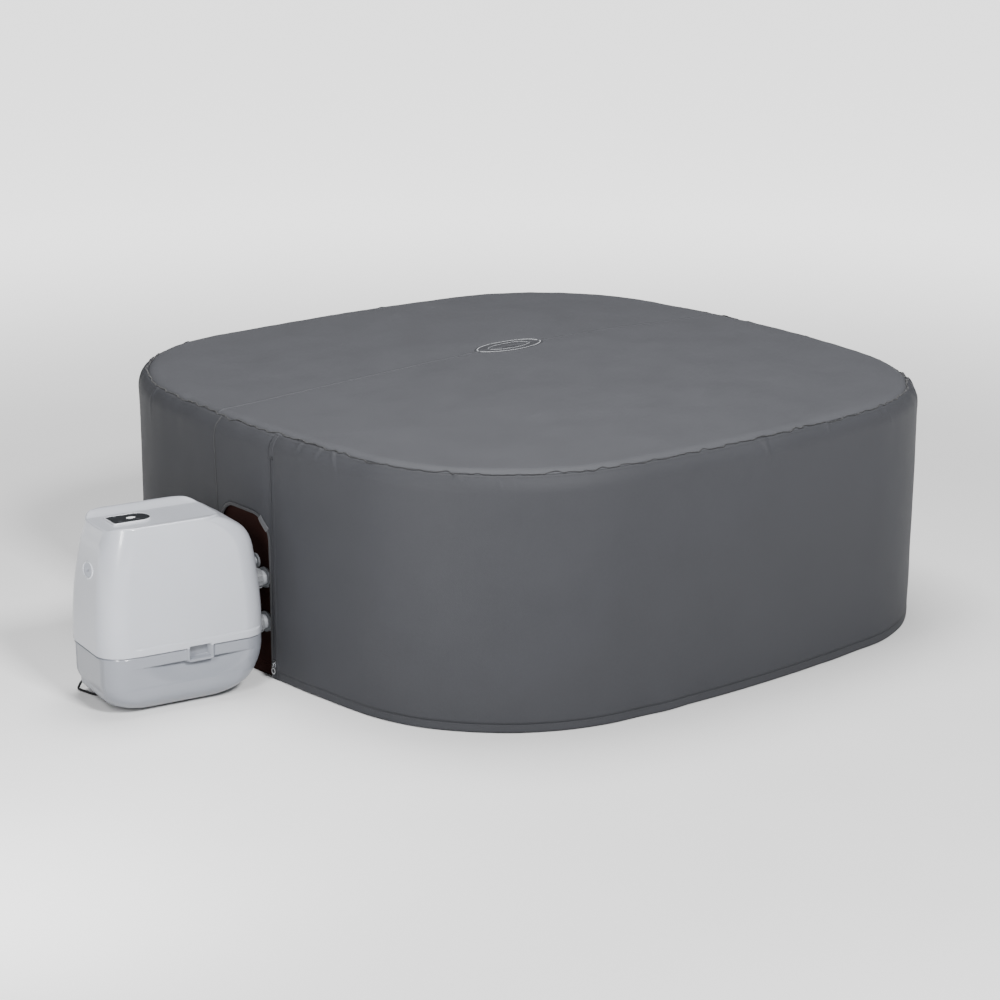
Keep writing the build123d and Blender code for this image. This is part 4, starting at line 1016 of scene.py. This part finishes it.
def build_front_badge():
    """Plain oval on the pump's front with a raised rim."""
    cz, cy, a, b = 0.358, -0.008, 0.033, 0.022
    t = np.linspace(0, 2 * np.pi, 96, endpoint=False)

    def at(f, off):
        y = cy + a * f[:, None] * np.cos(t)
        z = cz + b * f[:, None] * np.sin(t)
        front = pump_section(z)[0]
        return np.stack([front - 0.0013 - off[:, None], y, z], -1)

    f = np.array([0.03, 0.4, 0.75, 0.84])
    face, back = at(f, np.full(4, 0.0010)), at(f, np.full(4, -0.001))
    local_shell("pump_badge_face", face, back, "pump_badge",
                ["pump_badge"], wrap=True)
    f = np.array([0.80, 0.85, 0.92, 0.98, 1.0])
    local_shell("pump_badge_rim", at(f, np.array([0.0008, 0.0028, 0.0032, 0.0020, -0.0002])),
                at(f, np.array([-0.001] * 5)), "pump_badge_rim", wrap=True)


def d_outline(grow, n_arc=60, n_line=24):
    """D-shaped outline of the control panel, round end towards the tub."""
    lo_x, hi_x, half, cy = -0.142, -0.038, 0.032, 0.004
    r = half + grow
    cx = hi_x - half
    corner = 0.006
    pts = []
    for a in np.linspace(-math.pi / 2, math.pi / 2, n_arc, endpoint=False):
        pts.append((cx + r * math.cos(a), cy + r * math.sin(a)))
    x0 = lo_x - grow + corner
    for x in np.linspace(cx, x0, n_line, endpoint=False):
        pts.append((x, cy + r))
    for a in np.linspace(math.pi / 2, math.pi, 8, endpoint=False):
        pts.append((x0 + corner * math.cos(a), cy + r - corner + corner * math.sin(a)))
    for y in np.linspace(cy + r - corner, cy - r + corner, n_line, endpoint=False):
        pts.append((lo_x - grow, y))
    for a in np.linspace(math.pi, 1.5 * math.pi, 8, endpoint=False):
        pts.append((x0 + corner * math.cos(a), cy - r + corner + corner * math.sin(a)))
    for x in np.linspace(x0, cx, n_line, endpoint=False):
        pts.append((x, cy - r))
    return np.array(pts)


def build_panel_rim():
    """Raised lip round the control panel."""
    rows = []
    profile = ((-0.0004, 0.4690), (0.0002, 0.4712), (0.0012, 0.4722), (0.0026, 0.4716), (0.0034, 0.4680))
    for grow, z in profile:
        p = d_outline(grow)
        rows.append(np.column_stack([p, np.full(len(p), z)]))
    outer = np.array(rows)
    inner = outer.copy()
    inner[..., 2] = 0.4655
    local_shell("control_panel_rim", outer, inner, "panel_rim", wrap=True)


def build_wire_foot():
    """Smooth bent rod in place of the CAD's mitred one."""
    z = 0.0034
    pts = [(-0.148, 0.116, 0.050), (-0.190, 0.121, 0.026), (-0.197, 0.126, 0.008), (-0.199, 0.126, z),
           (-0.198, 0.116, z), (-0.190, 0.090, z), (-0.180, 0.064, z), (-0.174, 0.058, z),
           (-0.166, 0.062, 0.008), (-0.146, 0.066, 0.034)]
    p = place_pump(np.array(pts))
    curve = bpy.data.curves.new("wire_foot_rod", "CURVE")
    curve.dimensions = "3D"
    sp = curve.splines.new("NURBS")
    sp.points.add(len(p) - 1)
    for a, b in zip(sp.points, p):
        a.co = (*b, 1)
    sp.order_u = 3
    sp.use_endpoint_u = True
    curve.resolution_u = 12
    curve.bevel_depth = 0.0032
    curve.bevel_resolution = 5
    curve.use_fill_caps = True
    ob = bpy.data.objects.new("wire_foot_rod", curve)
    bpy.context.scene.collection.objects.link(ob)
    finish_piece(ob, "rod", "tub", ["wire_foot"])


# ---------------------------------------------------------------- inflated tub and lid
def ring_rows(profile, s):
    """Grid of points: profile gives (inset, z) rows, s the places around."""
    point, n = plan(s)
    rows = []
    for i, z in profile:
        xy = point - n * i
        rows.append(np.column_stack([xy, np.full(len(s), z)]))
    return np.array(rows)


def build_tub():
    """Outer wall, rounded top and inner wall, drawn in at each web and swelling between them."""
    s = np.linspace(0, AROUND, 960, endpoint=False)
    point, n = plan(s)
    angle = np.arctan2(point[:, 1], point[:, 0])
    swell = 0.0022 * (np.abs(np.cos(angle * TUB_WEBS / 2)) ** 0.45) - 0.0016
    arc = np.linspace(0, math.pi / 2, 12)
    out0, in1 = TUB_INSET, TUB_INSET + RING_W
    cap_z = TUB_TOP - TUB_EDGE_R

    def rows_for(profile, gain):
        rows = ring_rows(profile, s)
        for k, g in enumerate(gain):
            rows[k, :, :2] += n * (swell * g)[:, None]
        return rows

    zs = span(0.001, cap_z, 0.02)
    fade = np.clip(np.minimum(zs, cap_z - zs) / 0.05, 0, 1)
    outer = rows_for([(out0, z) for z in zs], fade)
    inner = rows_for([(out0 + 0.002, z) for z in zs], fade)
    ob = shell("tub_wall_outer", outer, inner, wrap=True)
    finish_piece(ob, "tub_pvc", "tub", ["tub_outer_wall"])
    top = [(out0 + TUB_EDGE_R * (1 - math.cos(a)), cap_z + TUB_EDGE_R * math.sin(a)) for a in arc]
    flat = np.linspace(out0 + TUB_EDGE_R, in1 - TUB_EDGE_R, 14)
    top += [(i, TUB_TOP) for i in flat[1:]]
    top += [(in1 - TUB_EDGE_R * (1 - math.cos(a)), cap_z + TUB_EDGE_R * math.sin(a)) for a in arc[::-1][1:]]
    top = np.array(top)
    under = top + (np.array([[out0 + RING_W / 2, cap_z - 0.02]]) - top) * 0.016
    ob = shell("tub_top_roll", ring_rows(top, s), ring_rows(under, s), wrap=True)
    finish_piece(ob, "tub_pvc", "tub", ["tub_top_panel"])
    zs = span(0.003, cap_z, 0.02)
    fade = np.clip(np.minimum(zs - 0.003, cap_z - zs) / 0.05, 0, 1)
    outer = rows_for([(in1, z) for z in zs], -fade * 0.7)
    inner = ring_rows([(in1 - 0.002, z) for z in zs], s)
    ob = shell("tub_wall_inner", outer, inner, wrap=True)
    finish_piece(ob, "liner", "tub", ["tub_inner_wall"])
    for name, inset, z in (("tub_seam_low", out0, 0.03), ("tub_seam_high", out0, cap_z)):
        a = np.linspace(0, 2 * math.pi, 9)[:-1]
        profile = [(inset - 0.0016 * math.cos(t), z + 0.006 * math.sin(t)) for t in a]
        profile.append((inset - 0.0016, z))
        rows = ring_rows(profile, s)
        inner = ring_rows([(inset + 0.0004, z)] * len(profile), s)
        ob = shell(name, rows, inner, wrap=True)
        finish_piece(ob, "tub_pvc", "tub")


def ribs(x):
    """Depth share of the welded ribs that cross the lid at this x."""
    across = np.abs(np.sin(x * math.pi / LID_RIB_PITCH))
    return np.exp(-((across / 0.16) ** 2))


def lid_top(edge, n, z0, z1):
    """Rows over the lid, from the flange's edge to the middle of its crowned top."""
    round_r = 0.003
    rows = []
    for k in np.linspace(0, math.pi / 2, 6):
        z = z0 + 0.0035 + round_r * math.sin(k)
        rows.append(np.column_stack([edge - n * round_r * (1 - math.cos(k)), np.full(len(edge), z)]))
    for k in np.linspace(1, 0.012, 110)[1:]:
        xy = (edge - n * round_r) * k
        r = np.hypot(xy[:, 0], xy[:, 1])
        crown = 0.0170 * np.clip(1 - (r / 0.66) ** 2, 0, 1) ** 0.8
        quilt = -0.0050 * ribs(xy[:, 0]) * smoothstep(0.70, 0.60, r)
        rows.append(np.column_stack([xy, z1 + crown + quilt * (crown > 0)]))
    return np.array(rows)


def lid_underside(edge, n, plug_edge, z0, z_low):
    """Rows under the lid: flange, plug wall, rounded lower edge and ribbed bottom."""
    round_r, count = 0.02, len(edge)
    rows = [np.column_stack([edge, np.full(count, z0 + 0.003)])]
    rows.append(np.column_stack([edge - n * 0.002, np.full(count, z0)]))
    for i in np.linspace(0.02, 0.105, 6):
        rows.append(np.column_stack([edge - n * i, np.full(count, z0)]))
    for z in np.linspace(z0, z_low + round_r, 8):
        rows.append(np.column_stack([plug_edge, np.full(count, z)]))
    for k in np.linspace(0, math.pi / 2, 7):
        z = z_low + round_r - round_r * math.sin(k)
        rows.append(np.column_stack([plug_edge - n * round_r * (1 - math.cos(k)), np.full(count, z)]))
    last = rows[-1][:, :2]
    for k in np.linspace(1, 0.012, 60)[1:]:
        xy = last * k
        z = z_low + 0.006 * ribs(xy[:, 0]) * smoothstep(1.0, 0.92, np.full(count, k))
        rows.append(np.column_stack([xy, z]))
    return np.array(rows)


def build_lid():
    """Quilted air cushion: crowned cells between welded ribs, flange and plug."""
    z_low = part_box("lid_pad")[0].z
    s = np.linspace(0, AROUND, 720, endpoint=False)
    point, n = plan(s)
    edge = point - n * LID_INSET
    plug_edge = point - n * (TUB_INSET + RING_W + 0.003)
    z0 = z_low + 0.0865
    top = lid_top(edge, n, z0, z0 + 0.0050)
    under = lid_underside(edge, n, plug_edge, z0, z_low)
    verts = np.concatenate([under[::-1].reshape(-1, 3), top.reshape(-1, 3)])
    rows, cols = len(under) + len(top), len(s)
    faces = grid_faces(rows, cols, True)
    faces += [tuple(range(cols))[::-1], tuple(range((rows - 1) * cols, rows * cols))]
    ob = add_mesh("lid_cushion", verts, faces)
    finish_piece(ob, "lid_pvc", "lid", ["lid_pad"])


# ---------------------------------------------------------------- CAD nodes that stay
KEPT = {
    "tub_floor": "tub_pvc", "wall_baffles": "tub_pvc", "air_channel": "liner",
    "tub_pipes": "pipe", "valve_bodies": "pipe", "outlet_screen": "pipe", "filter_housing": "pipe",
    "water_out_nut": "nut", "water_in_nut": "nut", "air_nut": "nut", "pump_stubs": "nut",
    "inflation_valve_cap": "cap", "drain_valve_cap": "cap", "filter_cap": "cap", "coupling_seals": "rubber",
    "rubber_feet": "rubber", "cord_gland": "rubber", "filter_cartridge": "paper", "control_panel": "panel",
    "display_lens": "lens", "key_1": "key", "key_2": "key", "key_3": "key", "key_4": "key",
    "chassis": "inner", "pump_volute": "inner", "impeller": "inner", "blower_housing": "inner",
    "blower_fan": "inner", "air_manifold": "inner", "water_pump_motor": "motor", "blower_motor": "motor",
    "heater_tube": "steel", "heater_element": "steel", "water_hoses": "hose", "control_board": "board",
    "zip_slider": "zip_metal", "zip_pull": "zip_metal", "lid_valve": "cap",
}


def dress_kept():
    for node, mat in KEPT.items():
        ob = NODES[node]
        ob.data.materials.clear()
        ob.data.materials.append(M[mat])
        bevel = ob.modifiers.new("soft edges", "BEVEL")
        bevel.width = 0.0005
        bevel.segments = 2
        bevel.limit_method = "ANGLE"
        bevel.angle_limit = math.radians(40)


# ---------------------------------------------------------------- stage, light, camera
SWEEP_GLOW = 2.1
WORLD_LIGHT = 0.10


def build_stage():
    bpy.ops.mesh.primitive_plane_add(size=60, location=(0, 0, -0.0005))
    floor = bpy.context.object
    floor.name = "floor"
    m = Nodes("floor")
    tones = m.ramp(m.noise(2.0, 2.0), [(0.3, (0.69, 0.69, 0.69)), (0.7, (0.71, 0.71, 0.71))])
    m.link(tones, m.bsdf.inputs["Base Color"])
    away = m.add("ShaderNodeVectorMath", operation="LENGTH")
    m.link(m.pos, away.inputs[0])
    sweep = m.add("ShaderNodeMapRange", interpolation_type="SMOOTHSTEP")
    for name, value in (("From Min", 1.6), ("From Max", 6.5), ("To Min", 0.02), ("To Max", SWEEP_GLOW)):
        sweep.inputs[name].default_value = value
    m.link(away.outputs["Value"], sweep.inputs["Value"])
    m.link(sweep.outputs[0], m.bsdf.inputs["Emission Strength"])
    m.set(Roughness=0.9, Specular_IOR_Level=0.1, Emission_Color=(1, 1, 1, 1))
    floor.data.materials.append(m.mat)
    world = bpy.data.worlds.new("studio")
    world.use_nodes = True
    world.node_tree.nodes["Background"].inputs[0].default_value = (1.0, 1.0, 1.0, 1)
    world.node_tree.nodes["Background"].inputs[1].default_value = WORLD_LIGHT
    bpy.context.scene.world = world


def area_light(name, pos, target, size, power):
    data = bpy.data.lights.new(name, "AREA")
    data.shape = "RECTANGLE"
    data.size, data.size_y = size
    data.energy = power
    ob = bpy.data.objects.new(name, data)
    bpy.context.scene.collection.objects.link(ob)
    ob.location = pos
    ob.rotation_euler = (Vector(target) - Vector(pos)).to_track_quat("-Z", "Y").to_euler()
    ob.visible_camera = False


def build_lights():
    area_light("overhead", (0.3, 0.6, 6.0), (0, 0, 0), (3.0, 3.0), 440)
    area_light("key", (-1.5, -6.2, 5.2), (-0.2, -0.2, 0.3), (1.4, 1.4), 880)
    area_light("edge strip", (-2.40, -0.95, 1.00), (-1.38, -0.12, 0.30), (0.26, 0.9), 30)


def build_camera():
    azimuth, elevation, distance = math.radians(-39.46), math.radians(16.82), 7.406
    target = Vector((-0.0523, 0.044, 0.1829))
    flat = math.cos(elevation)
    back = Vector((math.sin(azimuth) * flat, -math.cos(azimuth) * flat, math.sin(elevation)))
    data = bpy.data.cameras.new("camera")
    data.sensor_width = 36.0
    data.lens = 95.1
    data.shift_y = 0.0354
    data.clip_end = 200
    cam = bpy.data.objects.new("camera", data)
    bpy.context.scene.collection.objects.link(cam)
    cam.location = target + back * distance
    cam.rotation_euler = (-back).to_track_quat("-Z", "Y").to_euler()
    bpy.context.scene.camera = cam


build_skirt()
build_pump_panel()
build_hem()
build_rim_seam()
build_binding()
build_panel_seams()
build_zip()
build_notch_tab()
build_top()
build_top_seam()
build_badge()
build_pump_shells()
build_front_badge()
build_panel_rim()
build_wire_foot()
build_tub()
build_lid()
dress_kept()
build_stage()
build_lights()
build_camera()
